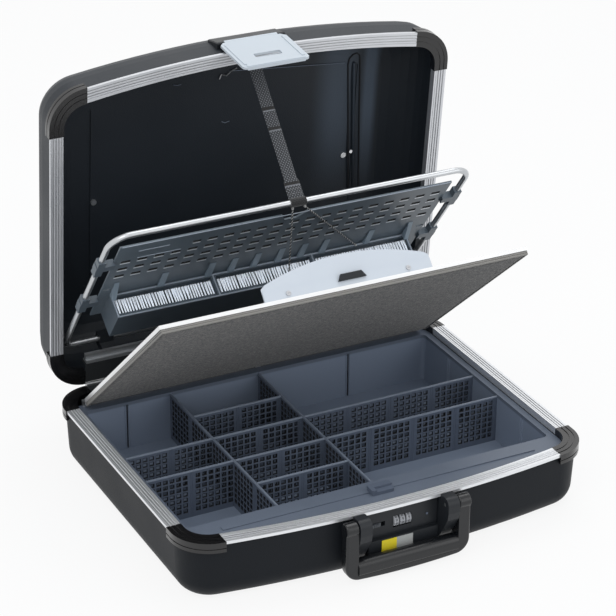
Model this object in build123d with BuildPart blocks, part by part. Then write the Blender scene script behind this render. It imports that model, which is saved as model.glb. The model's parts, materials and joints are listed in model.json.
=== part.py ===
"""Hard tool case, open: base with divided tray, lid, foam panel and a brush pallet in the lid."""

from build123d import *
from math import cos, radians, sin, sqrt
import os

# Whole case, in millimetres: x to the right, y to the back, z up from the underside
CASE_WIDTH = 455
CASE_DEPTH = 364
FRONT_BOW = 20
CORNER_RADIUS = 40
BASE_HEIGHT = 71
LID_HEIGHT = 78
SEAM_GAP = 0.4
WALL = 3
BACK = CASE_DEPTH / 2
FRONT = -BACK
SHOULDER = FRONT + FRONT_BOW
LID_FACE = BASE_HEIGHT + SEAM_GAP

# Aluminium rims and their corner pieces
RIM_WIDTH = 14
RIM_FACE = 2.2
RIM_SKIRT = 3.2
RIM_INNER_SKIRT = 8
SKIRT_WALL = 2.2
CORNER_ALONG_SIDE = 43
CORNER_ALONG_FRONT = 39.6
CORNER_PROUD = 1.2
CORNER_SKIRT = 11

# Hinge at the back, and how far the lid, panel and pallet stand open
HINGE_Y = 184.2
HINGE_Z = BASE_HEIGHT + SEAM_GAP / 2
LID_OPEN = 84.1
PANEL_OPEN = 41.2
PALLET_OPEN = 52.0
KNUCKLE_RADIUS = 2.8
HINGE_PIN_RADIUS = 1.5
RUNNING = 0.05
HINGE_BACK_FACE = 180.8
HINGE_BAND_FRONT = 158
HINGE_HALF = CASE_WIDTH / 2 - CORNER_ALONG_FRONT

# Base shell and tray
BASE_TAPER = 3
BASE_FILLET = 22
TRAY_TOP = BASE_HEIGHT - 8
TRAY_SHEET = 2
TRAY_LEFT, TRAY_RIGHT = -206, 205
TRAY_FRONT, TRAY_BACK = -118, 143
TRAY_FLOOR = 7
DIVIDER_TOP = 61
DIVIDER_SHEET = 2
DIVIDER_LEFT_X, DIVIDER_MIDDLE_X = -107, -2
CELL = 51.3
HOLE_COLUMNS, HOLE_ROWS = 6, 7
HOLE_PITCH_X, HOLE_PITCH_Z = 7.3, 6.5
HOLE_WIDTH, HOLE_HEIGHT = 4.4, 4.0

# Lock and handle on the front
CONSOLE_HALF = 39.5
CONSOLE_LOW, CONSOLE_STEP = 17, 35.5
CONSOLE_TOP = BASE_HEIGHT - 6
CONSOLE_RECESS, CONSOLE_FACE, CONSOLE_BACK = -176, -181, -150
DIAL_RADIUS, DIAL_WIDTH, DIAL_PITCH = 7, 5.6, 7
DIAL_Y, DIAL_Z = -172, 49
HANDLE_X, HANDLE_Y, HANDLE_Z = -2.5, -190.5, 63
HANDLE_PIN = 2.5
BOSS_IN, BOSS_OUT = 42.4, 55.5
ARM_IN, ARM_OUT = 56.1, 69.5
GRIP_LOW, GRIP_HIGH = 7, 26.4
FLAP_HALF = 37.4
FLAP_INNER, FLAP_SHEET = -183.4, 2.5
FLAP_LOW = 27.2
FLAP_HINGE_Y, FLAP_HINGE_Z = -184.2, LID_FACE + 19
HOUSING_HALF, HOUSING_HIGH = 38.6, LID_FACE + 39.5

# Panel: a foam-faced board hinged over the tray
PANEL_HINGE_Y, PANEL_HINGE_Z = 150, 69
PANEL_HALF, PANEL_END = 205, 279
BOARD_TOP, BOARD_UNDER, FOAM_UNDER = -2.1, 0.9, 5.4
EDGE_SHEET = 1

# Pallet: wire frame with a slotted tool plate and three brushes
PALLET_PIVOT_Y, PALLET_PIVOT_Z = 142.5, LID_FACE + 20
WIRE_RADIUS, WIRE_HALF, WIRE_REACH = 3.2, 205, 234.8
PLATE_HALF, PLATE_LOW, PLATE_HIGH, PLATE_SHEET = 190, 66, 211, 2
SHELF_LOW, SHELF_HIGH, SHELF_DEPTH = 66, 108, 28
SHELF_X, SHELF_HALF = -3.5, 174.5
SLOT_COLUMNS, SLOT_PITCH = 20, 18.6
SLOT_ROWS = (193, 178, 163, 148)
RIB_PLACES, RIB_OUT, RIB_WIDTH = (14, 41, 67, 121), 4, 7
END_RIB_OUT, END_RIB_WIDTH = 9, 5
RIB_HIGH = 135
TUFTS, TUFT_PITCH = 36, 3.0

LID_AXIS = Axis((0, HINGE_Y, HINGE_Z), (1, 0, 0))


def swung(angle, y, z):
    """A point of the closed lid after the lid swings open by an angle."""
    turn = radians(-angle)
    dy, dz = y - HINGE_Y, z - HINGE_Z
    return (HINGE_Y + dy * cos(turn) - dz * sin(turn), HINGE_Z + dy * sin(turn) + dz * cos(turn))


def tilted_plane(y, z, angle):
    """Plane through (y, z) with its local y rising forwards at an angle and its z below it."""
    rise = radians(angle)
    return Plane(origin=(0, y, z), x_dir=(1, 0, 0), z_dir=(0, -sin(rise), -cos(rise)))


PANEL = tilted_plane(PANEL_HINGE_Y, PANEL_HINGE_Z, PANEL_OPEN)
PALLET = tilted_plane(*swung(LID_OPEN, PALLET_PIVOT_Y, PALLET_PIVOT_Z), PALLET_OPEN)


def save(part, name):
    """Label a finished piece and write its file."""
    part.label = name
    export_step(part, f"parts/{name}.step")


def save_lid(part, name):
    """Swing a piece drawn on the closed lid to its open place, and write it."""
    save(part.rotate(LID_AXIS, -LID_OPEN), name)


os.makedirs("parts", exist_ok=True)


# Plans and rings
def plan_outline(inset, radius=None):
    """Plan of the case drawn in from its widest line, with its bowed front."""
    half, back = CASE_WIDTH / 2 - inset, BACK - inset
    shoulder, front = SHOULDER + inset, FRONT + inset
    with BuildSketch() as plan:
        with BuildLine():
            Polyline((-half, shoulder), (-half, back), (half, back), (half, shoulder))
            ThreePointArc((half, shoulder), (0, front), (-half, shoulder))
        make_face()
        fillet(plan.vertices(), CORNER_RADIUS - inset if radius is None else radius)
    return plan.sketch


def ring(outer, inner, low, high):
    """Band of the plan between two insets, from one height to another."""
    with BuildPart() as band:
        with BuildSketch(Plane.XY.offset(low)):
            add(plan_outline(outer))
            add(plan_outline(inner), mode=Mode.SUBTRACT)
        extrude(amount=high - low)
    return band.part


def rim_ring(face, way):
    """Ridged rim with its face at a height, standing up (way 1) or down (way -1) from it."""
    ridge_depth, ridge_width = 0.5, 1.0
    bands = [ring(0, RIM_WIDTH, *sorted((face, face + way * RIM_FACE)))]
    bands.append(ring(0, SKIRT_WALL, *sorted((face, face + way * RIM_SKIRT))))
    bands.append(ring(RIM_WIDTH - 1.6, RIM_WIDTH, *sorted((face, face + way * RIM_INNER_SKIRT))))
    cuts = [ring(k, k + ridge_width, *sorted((face, face + way * ridge_depth))) for k in (3, 6, 9)]
    with BuildPart() as rim:
        add(bands)
        add(cuts, mode=Mode.SUBTRACT)
    return rim.part


def corner_ring(face, way):
    """Plastic corner section: wider than the rim, with a deeper skirt and two grooves."""
    groove = 0.6
    bands = [ring(-CORNER_PROUD, RIM_WIDTH + 0.6, *sorted((face, face + way * RIM_FACE)))]
    bands.append(ring(-CORNER_PROUD, SKIRT_WALL, *sorted((face, face + way * CORNER_SKIRT))))
    bands.append(ring(RIM_WIDTH - 2, RIM_WIDTH + 0.6, *sorted((face, face + way * 9))))
    cuts = [ring(k, k + 1.4, *sorted((face, face + way * groove))) for k in (3, 8)]
    level = face + way * 6
    cuts.append(ring(-CORNER_PROUD, groove - CORNER_PROUD, *sorted((level, level + way * 1.2))))
    with BuildPart() as corner:
        add(bands)
        add(cuts, mode=Mode.SUBTRACT)
    return corner.part


def cut_box(part, x_range, y_range, z_range=(-10, 200)):
    """What is left of a part inside a box."""
    size = [high - low for low, high in (x_range, y_range, z_range)]
    middle = [(high + low) / 2 for low, high in (x_range, y_range, z_range)]
    with BuildPart() as kept:
        add(part)
        with Locations(tuple(middle)):
            Box(*size, mode=Mode.INTERSECT)
    return kept.part


FAR = CASE_WIDTH / 2 + 10
FRONT_CORNER_Y = SHOULDER + CORNER_ALONG_SIDE
BACK_CORNER_Y = BACK - CORNER_ALONG_SIDE


def rim_set(body, face, way, place):
    """The three aluminium strips, the hinge band and the four corners of one half."""
    rim, corner = rim_ring(face, way), corner_ring(face, way)
    place(cut_box(rim, (-HINGE_HALF, HINGE_HALF), (FRONT - 10, 0)), f"{body}_rim_front")
    place(cut_box(rim, (-FAR, -100), (FRONT_CORNER_Y, BACK_CORNER_Y)), f"{body}_rim_left")
    place(cut_box(rim, (100, FAR), (FRONT_CORNER_Y, BACK_CORNER_Y)), f"{body}_rim_right")
    fronts = [cut_box(corner, side, (FRONT - 10, FRONT_CORNER_Y)) for side in corner_sides()]
    backs = [cut_box(corner, side, (BACK_CORNER_Y, BACK + 10)) for side in corner_sides()]
    place(Compound(children=fronts), f"{body}_corners_front")
    place(Compound(children=backs), f"{body}_corners_back")


def corner_sides():
    """The two ranges of x that corner pieces hold."""
    return ((-FAR, -HINGE_HALF), (HINGE_HALF, FAR))


rim_set("base", BASE_HEIGHT, -1, save)
rim_set("lid", LID_FACE, 1, save_lid)


def hinge_band(face, way):
    """Black hinge profile along the back, between the corners."""
    low, high = sorted((face, face + way * RIM_FACE))
    skirt_low, skirt_high = sorted((face, face + way * 10))
    with BuildPart() as band:
        with Locations((0, (HINGE_BAND_FRONT + HINGE_BACK_FACE) / 2, (low + high) / 2)):
            Box(2 * HINGE_HALF - 0.4, HINGE_BACK_FACE - HINGE_BAND_FRONT, high - low)
        for edge, thick in ((HINGE_BAND_FRONT + 1, 2), (HINGE_BACK_FACE - 0.5, 1)):
            with Locations((0, edge, (skirt_low + skirt_high) / 2)):
                Box(2 * HINGE_HALF - 0.4, thick, skirt_high - skirt_low)
    return band.part


save(hinge_band(BASE_HEIGHT, -1), "base_hinge_profile")
save_lid(hinge_band(LID_FACE, 1), "lid_hinge_profile")


# Case hinge: leaves with alternate knuckles on one pin
def hinge_leaf(way, first):
    """Leaf against the back wall with every second knuckle, from the first one."""
    knuckles, gap = 9, 0.8
    pitch = 2 * HINGE_HALF / knuckles
    leaf_thick, leaf_reach = 1.4, 15
    low, high = sorted((HINGE_Z + way * 1.6, HINGE_Z + way * leaf_reach))
    mine = [-HINGE_HALF + pitch * (k + 0.5) for k in range(first, knuckles, 2)]
    other = [-HINGE_HALF + pitch * (k + 0.5) for k in range(1 - first, knuckles, 2)]
    with BuildPart() as leaf:
        with Locations((0, HINGE_BACK_FACE + leaf_thick / 2, (low + high) / 2)):
            Box(2 * HINGE_HALF - 2, leaf_thick, high - low)
        with Locations([(x, HINGE_Y, HINGE_Z) for x in other]):
            Cylinder(KNUCKLE_RADIUS + 0.5, pitch, rotation=(0, 90, 0), mode=Mode.SUBTRACT)
        with Locations([(x, HINGE_Y, HINGE_Z) for x in mine]):
            Cylinder(KNUCKLE_RADIUS, pitch - gap, rotation=(0, 90, 0))
        with Locations((0, HINGE_Y, HINGE_Z)):
            bore = HINGE_PIN_RADIUS + RUNNING
            Cylinder(bore, 2 * HINGE_HALF, rotation=(0, 90, 0), mode=Mode.SUBTRACT)
    return leaf.part


save(hinge_leaf(-1, 0), "base_hinge_leaf")
save_lid(hinge_leaf(1, 1), "lid_hinge_leaf")

with BuildPart() as case_hinge_pin:
    with Locations((0, HINGE_Y, HINGE_Z)):
        Cylinder(HINGE_PIN_RADIUS, 2 * HINGE_HALF - 1, rotation=(0, 90, 0))
save(case_hinge_pin.part, "case_hinge_pin")


# Base shell, with a window for the lock
SHELL_TOP = BASE_HEIGHT - RIM_FACE


def base_solid(inset, low, high, edge_radius):
    """Tapered block of the base, its lower edge rounded."""
    with BuildPart() as block:
        with BuildSketch(Plane.XY.offset(low)):
            add(plan_outline(inset + BASE_TAPER))
        with BuildSketch(Plane.XY.offset(high)):
            add(plan_outline(inset))
        loft(ruled=True)
        fillet(block.faces().sort_by(Axis.Z)[0].edges(), edge_radius)
    return block.part


base_block = base_solid(SKIRT_WALL, 0, SHELL_TOP, BASE_FILLET)
base_hollow = base_solid(SKIRT_WALL + WALL, WALL, SHELL_TOP + 1, BASE_FILLET - WALL)
with BuildPart() as base_shell:
    add(base_block)
    add(base_hollow, mode=Mode.SUBTRACT)
    with Locations((0, (CONSOLE_BACK + FRONT - 10) / 2, (CONSOLE_LOW + SHELL_TOP) / 2)):
        Box(2 * CONSOLE_HALF, abs(FRONT - 10 - CONSOLE_BACK), SHELL_TOP - CONSOLE_LOW,
            mode=Mode.SUBTRACT)
save(base_shell.part, "base_shell")


# Tray insert: a flange that follows the rim and a deep pocket
with BuildPart() as tray_insert:
    flange_inset = RIM_WIDTH + 0.8
    with BuildSketch(Plane.XY.offset(TRAY_TOP - TRAY_SHEET)):
        add(plan_outline(flange_inset))
        with Locations((0, BACK)):
            Rectangle(CASE_WIDTH, 2 * (BACK - HINGE_BAND_FRONT), mode=Mode.SUBTRACT)
    extrude(amount=TRAY_SHEET)
    pocket_x, pocket_y = (TRAY_LEFT + TRAY_RIGHT) / 2, (TRAY_FRONT + TRAY_BACK) / 2
    pocket_width, pocket_depth = TRAY_RIGHT - TRAY_LEFT, TRAY_BACK - TRAY_FRONT
    floor_under = TRAY_FLOOR - TRAY_SHEET
    with BuildSketch(Plane.XY.offset(floor_under)):
        with Locations((pocket_x, pocket_y)):
            RectangleRounded(pocket_width + 2 * TRAY_SHEET, pocket_depth + 2 * TRAY_SHEET, 7)
    extrude(amount=TRAY_TOP - TRAY_SHEET - floor_under)
    with BuildSketch(Plane.XY.offset(TRAY_FLOOR)):
        with Locations((pocket_x, pocket_y)):
            RectangleRounded(pocket_width, pocket_depth, 5)
    extrude(amount=TRAY_TOP, mode=Mode.SUBTRACT)
    step_width, step_rise = 6, 1.2
    with Locations((0, TRAY_FRONT - 17, TRAY_TOP + step_rise / 2)):
        Box(0.86 * pocket_width, step_width, step_rise)
save(tray_insert.part, "tray_insert")

with BuildPart() as tray_catch_block:
    with Locations((-4, TRAY_FRONT - 20, TRAY_TOP + 3)):
        Box(25, 14, 6)
    fillet(tray_catch_block.edges().filter_by(Axis.Z), 2)
    with Locations((-1.5, TRAY_FRONT - 24, TRAY_TOP + 4.8)):
        Box(20, 7, 2.4, mode=Mode.SUBTRACT)
    add(tray_insert.part, mode=Mode.SUBTRACT)
save(tray_catch_block.part, "tray_catch_block")


# Dividers: perforated sheets, half lapped where two cross
def hole_centres(length):
    """Centres of the holes, in panels one cell apart, along a divider of this length."""
    cells = max(1, round(length / CELL))
    middle = (DIVIDER_TOP + TRAY_FLOOR) / 2 + 1
    return [
        (
            (cell + 0.5) * length / cells - length / 2 + (column - (HOLE_COLUMNS - 1) / 2) * HOLE_PITCH_X,
            middle + (row - (HOLE_ROWS - 1) / 2) * HOLE_PITCH_Z,
        )
        for cell in range(cells)
        for column in range(HOLE_COLUMNS)
        for row in range(HOLE_ROWS)
    ]


def divider(plane, length, slots=(), slot_from_top=True):
    """Perforated sheet on a plane whose origin is its middle at z = 0, with lap slots."""
    height = DIVIDER_TOP - TRAY_FLOOR - 0.1
    lap = height / 2 + 0.1
    with BuildSketch(plane) as outline:
        with Locations((0, TRAY_FLOOR + 0.1 + height / 2)):
            Rectangle(length, height)
        slot_z = DIVIDER_TOP - lap / 2 if slot_from_top else TRAY_FLOOR + 0.1 + lap / 2
        for place in slots:
            with Locations((place, slot_z)):
                Rectangle(DIVIDER_SHEET + 0.4, lap, mode=Mode.SUBTRACT)
    centres = [plane.location * Location((x, z, 0)) for x, z in hole_centres(length)]
    holes = [Wire.make_rect(HOLE_WIDTH, HOLE_HEIGHT, Plane(centre)) for centre in centres]
    with BuildPart() as sheet:
        extrude(outline.sketch.face().make_holes(holes), amount=DIVIDER_SHEET / 2, both=True)
    return sheet.part


def plane_along_x(x, y):
    """Upright plane facing the front, centred at x and y."""
    return Plane(origin=(x, y, 0), x_dir=(1, 0, 0), z_dir=(0, -1, 0))


def cross_divider(left, right, y, **laps):
    """Divider from left to right at a depth."""
    return divider(plane_along_x((left + right) / 2, y), right - left, **laps)


CROSS_Y = [TRAY_FRONT + CELL * k for k in range(1, 5)]
LONG_LENGTH = TRAY_BACK - TRAY_FRONT - 0.4
LONG_Y = (TRAY_BACK + TRAY_FRONT) / 2
HALF_SHEET = DIVIDER_SHEET / 2 + 0.1
left_plane = Plane(origin=(DIVIDER_LEFT_X, LONG_Y, 0), x_dir=(0, 1, 0), z_dir=(1, 0, 0))
middle_plane = Plane(origin=(DIVIDER_MIDDLE_X, LONG_Y, 0), x_dir=(0, 1, 0), z_dir=(1, 0, 0))
lap_places = [CROSS_Y[1] - LONG_Y, CROSS_Y[2] - LONG_Y]
save(divider(left_plane, LONG_LENGTH, slots=lap_places), "divider_long_left")
save(divider(middle_plane, LONG_LENGTH), "divider_long_middle")

wide_span = (TRAY_LEFT + 0.2, DIVIDER_MIDDLE_X - HALF_SHEET)
lap_x = [DIVIDER_LEFT_X - sum(wide_span) / 2]
left_pair = [cross_divider(*wide_span, y, slots=lap_x, slot_from_top=False) for y in CROSS_Y[1:3]]
save(Compound(children=left_pair), "dividers_left_pair")
short_span = (DIVIDER_LEFT_X + HALF_SHEET, DIVIDER_MIDDLE_X - HALF_SHEET)
short_pair = [cross_divider(*short_span, y) for y in (CROSS_Y[0], CROSS_Y[3])]
save(Compound(children=short_pair), "dividers_short_pair")
right_span = (DIVIDER_MIDDLE_X + HALF_SHEET, TRAY_RIGHT - 0.2)
right_pair = [cross_divider(*right_span, y) for y in CROSS_Y[1:3]]
save(Compound(children=right_pair), "dividers_right_pair")


# Lock console, dials and slider
with BuildPart() as lock_console:
    with BuildSketch(Plane.YZ.offset(-CONSOLE_HALF)):
        with BuildLine():
            Polyline((CONSOLE_BACK, CONSOLE_LOW), (CONSOLE_FACE, CONSOLE_LOW),
                     (CONSOLE_FACE, CONSOLE_STEP), (CONSOLE_RECESS, CONSOLE_STEP),
                     (CONSOLE_RECESS, CONSOLE_TOP), (-170.2, CONSOLE_TOP), (-170.2, TRAY_TOP - 2.2),
                     (CONSOLE_BACK, TRAY_TOP - 2.2), close=True)
        make_face()
    extrude(amount=2 * CONSOLE_HALF)
    dial_places = [(DIAL_PITCH * k, DIAL_Y, DIAL_Z) for k in (-1, 0, 1)]
    with Locations(dial_places):
        Cylinder(DIAL_RADIUS + 0.6, DIAL_WIDTH + 0.6, rotation=(0, 90, 0), mode=Mode.SUBTRACT)
    with Locations((0, DIAL_Y, DIAL_Z)):
        Cylinder(1.5, 30, rotation=(0, 90, 0), mode=Mode.SUBTRACT)
    slider_x, slider_z = -27.5, 50
    with Locations((slider_x, CONSOLE_RECESS + 2, slider_z)):
        Box(17, 6, 5.2, mode=Mode.SUBTRACT)
save(lock_console.part, "lock_console")

with BuildPart() as dial_axle:
    with Locations((0, DIAL_Y, DIAL_Z)):
        Cylinder(1.5, 30, rotation=(0, 90, 0))
save(dial_axle.part, "dial_axle")


def code_dial(x):
    """Number wheel with ten flats round its edge and a bore for the axle."""
    with BuildPart() as dial:
        with BuildSketch(Plane.YZ.offset(x - DIAL_WIDTH / 2)):
            with Locations((DIAL_Y, DIAL_Z)):
                RegularPolygon(DIAL_RADIUS - 0.3, 10)
                Circle(1.5 + RUNNING, mode=Mode.SUBTRACT)
        extrude(amount=DIAL_WIDTH)
        outer = dial.edges().filter_by(GeomType.LINE).group_by(Axis.X)
        chamfer(outer[0] + outer[-1], 0.5)
    return dial.part


for number, turn in enumerate((-1, 0, 1), start=1):
    save(code_dial(DIAL_PITCH * turn), f"code_dial_{number}")

with BuildPart() as lock_slider:
    with Locations((slider_x - 2.3, CONSOLE_RECESS + 1.9, slider_z)):
        Box(11.6, 5, 4.4)
    with Locations((slider_x - 2.3, CONSOLE_RECESS - 1, slider_z)):
        Box(8, 1.2, 3.4)
    with Locations([(slider_x - 2.3 + 2 * k, CONSOLE_RECESS - 1.6, slider_z) for k in (-1, 0, 1)]):
        Box(0.7, 0.8, 3.4, mode=Mode.SUBTRACT)
save(lock_slider.part, "lock_slider")

with BuildPart() as label_plate:
    with Locations((-7.5, CONSOLE_FACE - 0.3, 26.5)):
        Box(35, 0.6, 15)
save(label_plate.part, "label_plate")


# Handle with its bosses and pins
def boss(low_x):
    """Boss on the front wall: round at the pin, tapering down the wall."""
    with BuildPart() as block:
        with BuildSketch(Plane.YZ.offset(low_x)):
            with BuildLine():
                front = HANDLE_Y - 8
                Polyline((-170, CONSOLE_LOW + 6), (-182, CONSOLE_LOW + 6), (front + 1.5, 48),
                         (front, 56), (front, HANDLE_Z))
                ThreePointArc((front, HANDLE_Z), (HANDLE_Y - 5.6, HANDLE_Z + 5.6), (HANDLE_Y, 71))
                Polyline((HANDLE_Y, 71), (-182.2, 71), (-182.2, CONSOLE_TOP),
                         (-170, CONSOLE_TOP), (-170, CONSOLE_LOW + 6))
            make_face()
        extrude(amount=BOSS_OUT - BOSS_IN)
        add(base_block, mode=Mode.SUBTRACT)
        with Locations((low_x, HANDLE_Y, HANDLE_Z)):
            Cylinder(HANDLE_PIN, 60, rotation=(0, 90, 0), mode=Mode.SUBTRACT)
    return block.part


save(Compound(children=[boss(HANDLE_X - BOSS_OUT), boss(HANDLE_X + BOSS_IN)]), "handle_bosses")

with BuildPart() as handle_pins:
    pin_from, pin_to = BOSS_IN + 1, ARM_OUT - 2
    for side in (-1, 1):
        with Locations((HANDLE_X + side * (pin_from + pin_to) / 2, HANDLE_Y, HANDLE_Z)):
            Cylinder(HANDLE_PIN, pin_to - pin_from, rotation=(0, 90, 0))
save(handle_pins.part, "handle_pins")

ARM_THICK = 12
ELBOW, GRIP_BASE = 16, GRIP_LOW + 4
handle_plane = Plane(origin=(HANDLE_X, HANDLE_Y, 0), x_dir=(1, 0, 0), z_dir=(0, -1, 0))
with BuildPart() as arm_cap:
    Cylinder(7.4, ARM_OUT - ARM_IN, rotation=(0, 90, 0))
    fillet(arm_cap.edges().filter_by(GeomType.CIRCLE), 1.6)
with BuildPart() as handle_frame:
    with BuildSketch(handle_plane) as bail:
        with BuildLine():
            Polyline((-ARM_OUT, GRIP_LOW), (-ARM_OUT, HANDLE_Z), (-ARM_IN, HANDLE_Z),
                     (-ARM_IN, GRIP_BASE), (ARM_IN, GRIP_BASE), (ARM_IN, HANDLE_Z),
                     (ARM_OUT, HANDLE_Z), (ARM_OUT, GRIP_LOW))
            ThreePointArc((ARM_OUT, GRIP_LOW), (0, GRIP_LOW - 3), (-ARM_OUT, GRIP_LOW))
        make_face()
        fillet([corner for corner in bail.vertices() if corner.Y < GRIP_LOW + 1], ELBOW)
    extrude(amount=ARM_THICK / 2, both=True)
    faces = handle_frame.faces().sort_by(Axis.Y)
    outer = [edge for edge in faces[0].edges() + faces[-1].edges() if edge.center().Z < GRIP_BASE - 1
             or (abs(edge.center().X - HANDLE_X) > ARM_IN + 1 and edge.center().Z < HANDLE_Z - 5)]
    fillet(outer, 2.5)
    for side in (-1, 1):
        with Locations((HANDLE_X + side * (ARM_IN + ARM_OUT) / 2, HANDLE_Y, HANDLE_Z)):
            add(arm_cap.part)
    with Locations((HANDLE_X, HANDLE_Y, HANDLE_Z)):
        bore = HANDLE_PIN + RUNNING
        Cylinder(bore, 2 * (pin_to + 0.3), rotation=(0, 90, 0), mode=Mode.SUBTRACT)
save(handle_frame.part, "handle_frame")

with BuildPart() as handle_grip:
    with Locations((HANDLE_X, HANDLE_Y, (GRIP_BASE + GRIP_HIGH) / 2)):
        Box(2 * ARM_IN, 15.4, GRIP_HIGH - GRIP_BASE)
    fillet(handle_grip.faces().sort_by(Axis.Z)[-1].edges().filter_by(Axis.X), 7)
    fillet(handle_grip.faces().sort_by(Axis.Z)[0].edges().filter_by(Axis.X), 3)
save(handle_grip.part, "handle_grip")


# Lid shell: a deep dish, rounded towards its outer panel
def dish_inset(depth, start, full, first):
    """How far the wall has come in at a depth: straight, then a quarter circle."""
    radius = full - start
    if depth <= start:
        return first
    return first + radius - sqrt(max(radius**2 - (depth - start) ** 2, 0))


def dish(full, first, depths):
    """Solid dish on the closed lid's face, its sides rounded off towards the outer panel."""
    wall_end = 28
    with BuildPart() as block:
        for depth in depths:
            inset = dish_inset(depth, wall_end, full, first)
            with BuildSketch(Plane.XY.offset(LID_FACE + depth)):
                add(plan_outline(inset, radius=CORNER_RADIUS - first + 0.25 * inset))
        loft(ruled=True)
    return block.part


LID_DEPTHS = (RIM_FACE, 28, 38, 48, 57, 65, 71, 75.5, 77.4, LID_HEIGHT)
lid_block = dish(LID_HEIGHT, SKIRT_WALL, LID_DEPTHS)
hollow_depths = (-1, 28, 37, 46, 55, 62.5, 68.5, 72.5, 74.4, LID_HEIGHT - WALL)
lid_hollow = dish(LID_HEIGHT - WALL, SKIRT_WALL + WALL, hollow_depths)
GROOVE_X, GROOVE_FRONT, GROOVE_BACK = 157, -105, 110
with BuildPart() as lid_shell:
    add(lid_block)
    add(lid_hollow, mode=Mode.SUBTRACT)
    with BuildSketch(Plane.XY.offset(LID_FACE + LID_HEIGHT - WALL - 1)):
        with Locations([(side * GROOVE_X, (GROOVE_FRONT + GROOVE_BACK) / 2) for side in (-1, 1)]):
            SlotOverall(GROOVE_BACK - GROOVE_FRONT, 8, rotation=90)
    extrude(amount=2.2, mode=Mode.SUBTRACT)
save_lid(lid_shell.part, "lid_shell")

with BuildPart() as lid_rivets:
    with Locations([(x, 7, LID_FACE + LID_HEIGHT - WALL - 0.9) for x in (-149.6, 149.6)]):
        Cylinder(3.2, 1.8)
    with Locations([(x, 95, LID_FACE + LID_HEIGHT - WALL - 0.9) for x in (-60, 60)]):
        Cylinder(3.2, 1.8)
save_lid(lid_rivets.part, "lid_rivets")


# Rails inside the back of the lid and the base
with BuildPart() as lid_hinge_rail:
    with BuildSketch(Plane.YZ.offset(-HINGE_HALF + 1)):
        with BuildLine():
            rail_low, rail_step, rail_top = LID_FACE + 0.2, LID_FACE + 3, LID_FACE + 7
            Polyline((158, rail_low), (154.4, rail_low), (154.4, rail_step), (148, rail_step),
                     (148, rail_top), (156, rail_top), (156, rail_top + 3), (158, rail_top + 3),
                     close=True)
        make_face()
    extrude(amount=2 * HINGE_HALF - 2)
save_lid(lid_hinge_rail.part, "lid_hinge_rail")

PANEL_PIN = 1.5
LUG_PLACES = (-200.5, 0, 200.5)
with BuildPart() as base_hinge_rail:
    with Locations((0, 156, (TRAY_TOP + 70) / 2)):
        Box(2 * 203.5, 4, 70 - TRAY_TOP)
    for x in LUG_PLACES:
        with Locations((x, PANEL_HINGE_Y, PANEL_HINGE_Z)):
            Cylinder(3.2, 6, rotation=(0, 90, 0))
        with Locations((x, (PANEL_HINGE_Y + 156) / 2, PANEL_HINGE_Z - 1.6)):
            Box(6, 156 - PANEL_HINGE_Y, 3.2)
    with Locations((0, PANEL_HINGE_Y, PANEL_HINGE_Z)):
        Cylinder(PANEL_PIN, 420, rotation=(0, 90, 0), mode=Mode.SUBTRACT)
save(base_hinge_rail.part, "base_hinge_rail")

with BuildPart() as panel_hinge_pin:
    with Locations((0, PANEL_HINGE_Y, PANEL_HINGE_Z)):
        Cylinder(PANEL_PIN, 407, rotation=(0, 90, 0))
save(panel_hinge_pin.part, "panel_hinge_pin")

PALLET_BRACKET_X = 158
with BuildPart() as pallet_brackets:
    for side in (-1, 1):
        with BuildSketch(Plane.YZ.offset(side * PALLET_BRACKET_X - 8)):
            with BuildLine():
                foot, top = LID_FACE + 7, PALLET_PIVOT_Z + 6
                Polyline((148, foot), (156, foot), (156, foot + 3), (150, top), (136.5, top),
                         (136.5, PALLET_PIVOT_Z - 6), (145, PALLET_PIVOT_Z - 6), close=True)
            make_face()
        extrude(amount=16)
    with Locations((0, PALLET_PIVOT_Y, PALLET_PIVOT_Z)):
        Cylinder(WIRE_RADIUS + RUNNING, 380, rotation=(0, 90, 0), mode=Mode.SUBTRACT)
save_lid(pallet_brackets.part, "pallet_brackets")


# Lock flap with its housing on the lid
FLAP_PIN = 1.2
KNUCKLE_HALF = 30
with BuildPart() as flap_housing:
    housing_low = FLAP_HINGE_Z - 2.8
    outer_face = FLAP_INNER - FLAP_SHEET
    housing_back, high_face, lip, bevel = -160, -180.6, 3, 1
    with BuildSketch(Plane.YZ.offset(-HOUSING_HALF)):
        with BuildLine():
            Polyline((housing_back, housing_low), (outer_face + bevel, housing_low),
                     (outer_face, housing_low + bevel), (outer_face, housing_low + lip),
                     (high_face, HOUSING_HIGH), (housing_back, HOUSING_HIGH), close=True)
        make_face()
    extrude(amount=2 * HOUSING_HALF)
    slope = flap_housing.faces().sort_by(Axis.Y)[:3].sort_by(SortBy.AREA)[-1]
    chamfer(slope.edges().sort_by(Axis.Z)[1:], 1)
    add(lid_block, mode=Mode.SUBTRACT)
    with Locations((0, FLAP_HINGE_Y - 0.6, FLAP_HINGE_Z - 0.1)):
        Box(2 * KNUCKLE_HALF + 1, 6.2, 5.6, mode=Mode.SUBTRACT)
    with Locations((0, FLAP_HINGE_Y, FLAP_HINGE_Z)):
        Cylinder(FLAP_PIN, 2 * KNUCKLE_HALF + 10, rotation=(0, 90, 0), mode=Mode.SUBTRACT)
save_lid(flap_housing.part, "flap_housing")

with BuildPart() as flap_hinge_pin:
    with Locations((0, FLAP_HINGE_Y, FLAP_HINGE_Z)):
        Cylinder(FLAP_PIN, 2 * KNUCKLE_HALF + 10, rotation=(0, 90, 0))
save_lid(flap_hinge_pin.part, "flap_hinge_pin")

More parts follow.
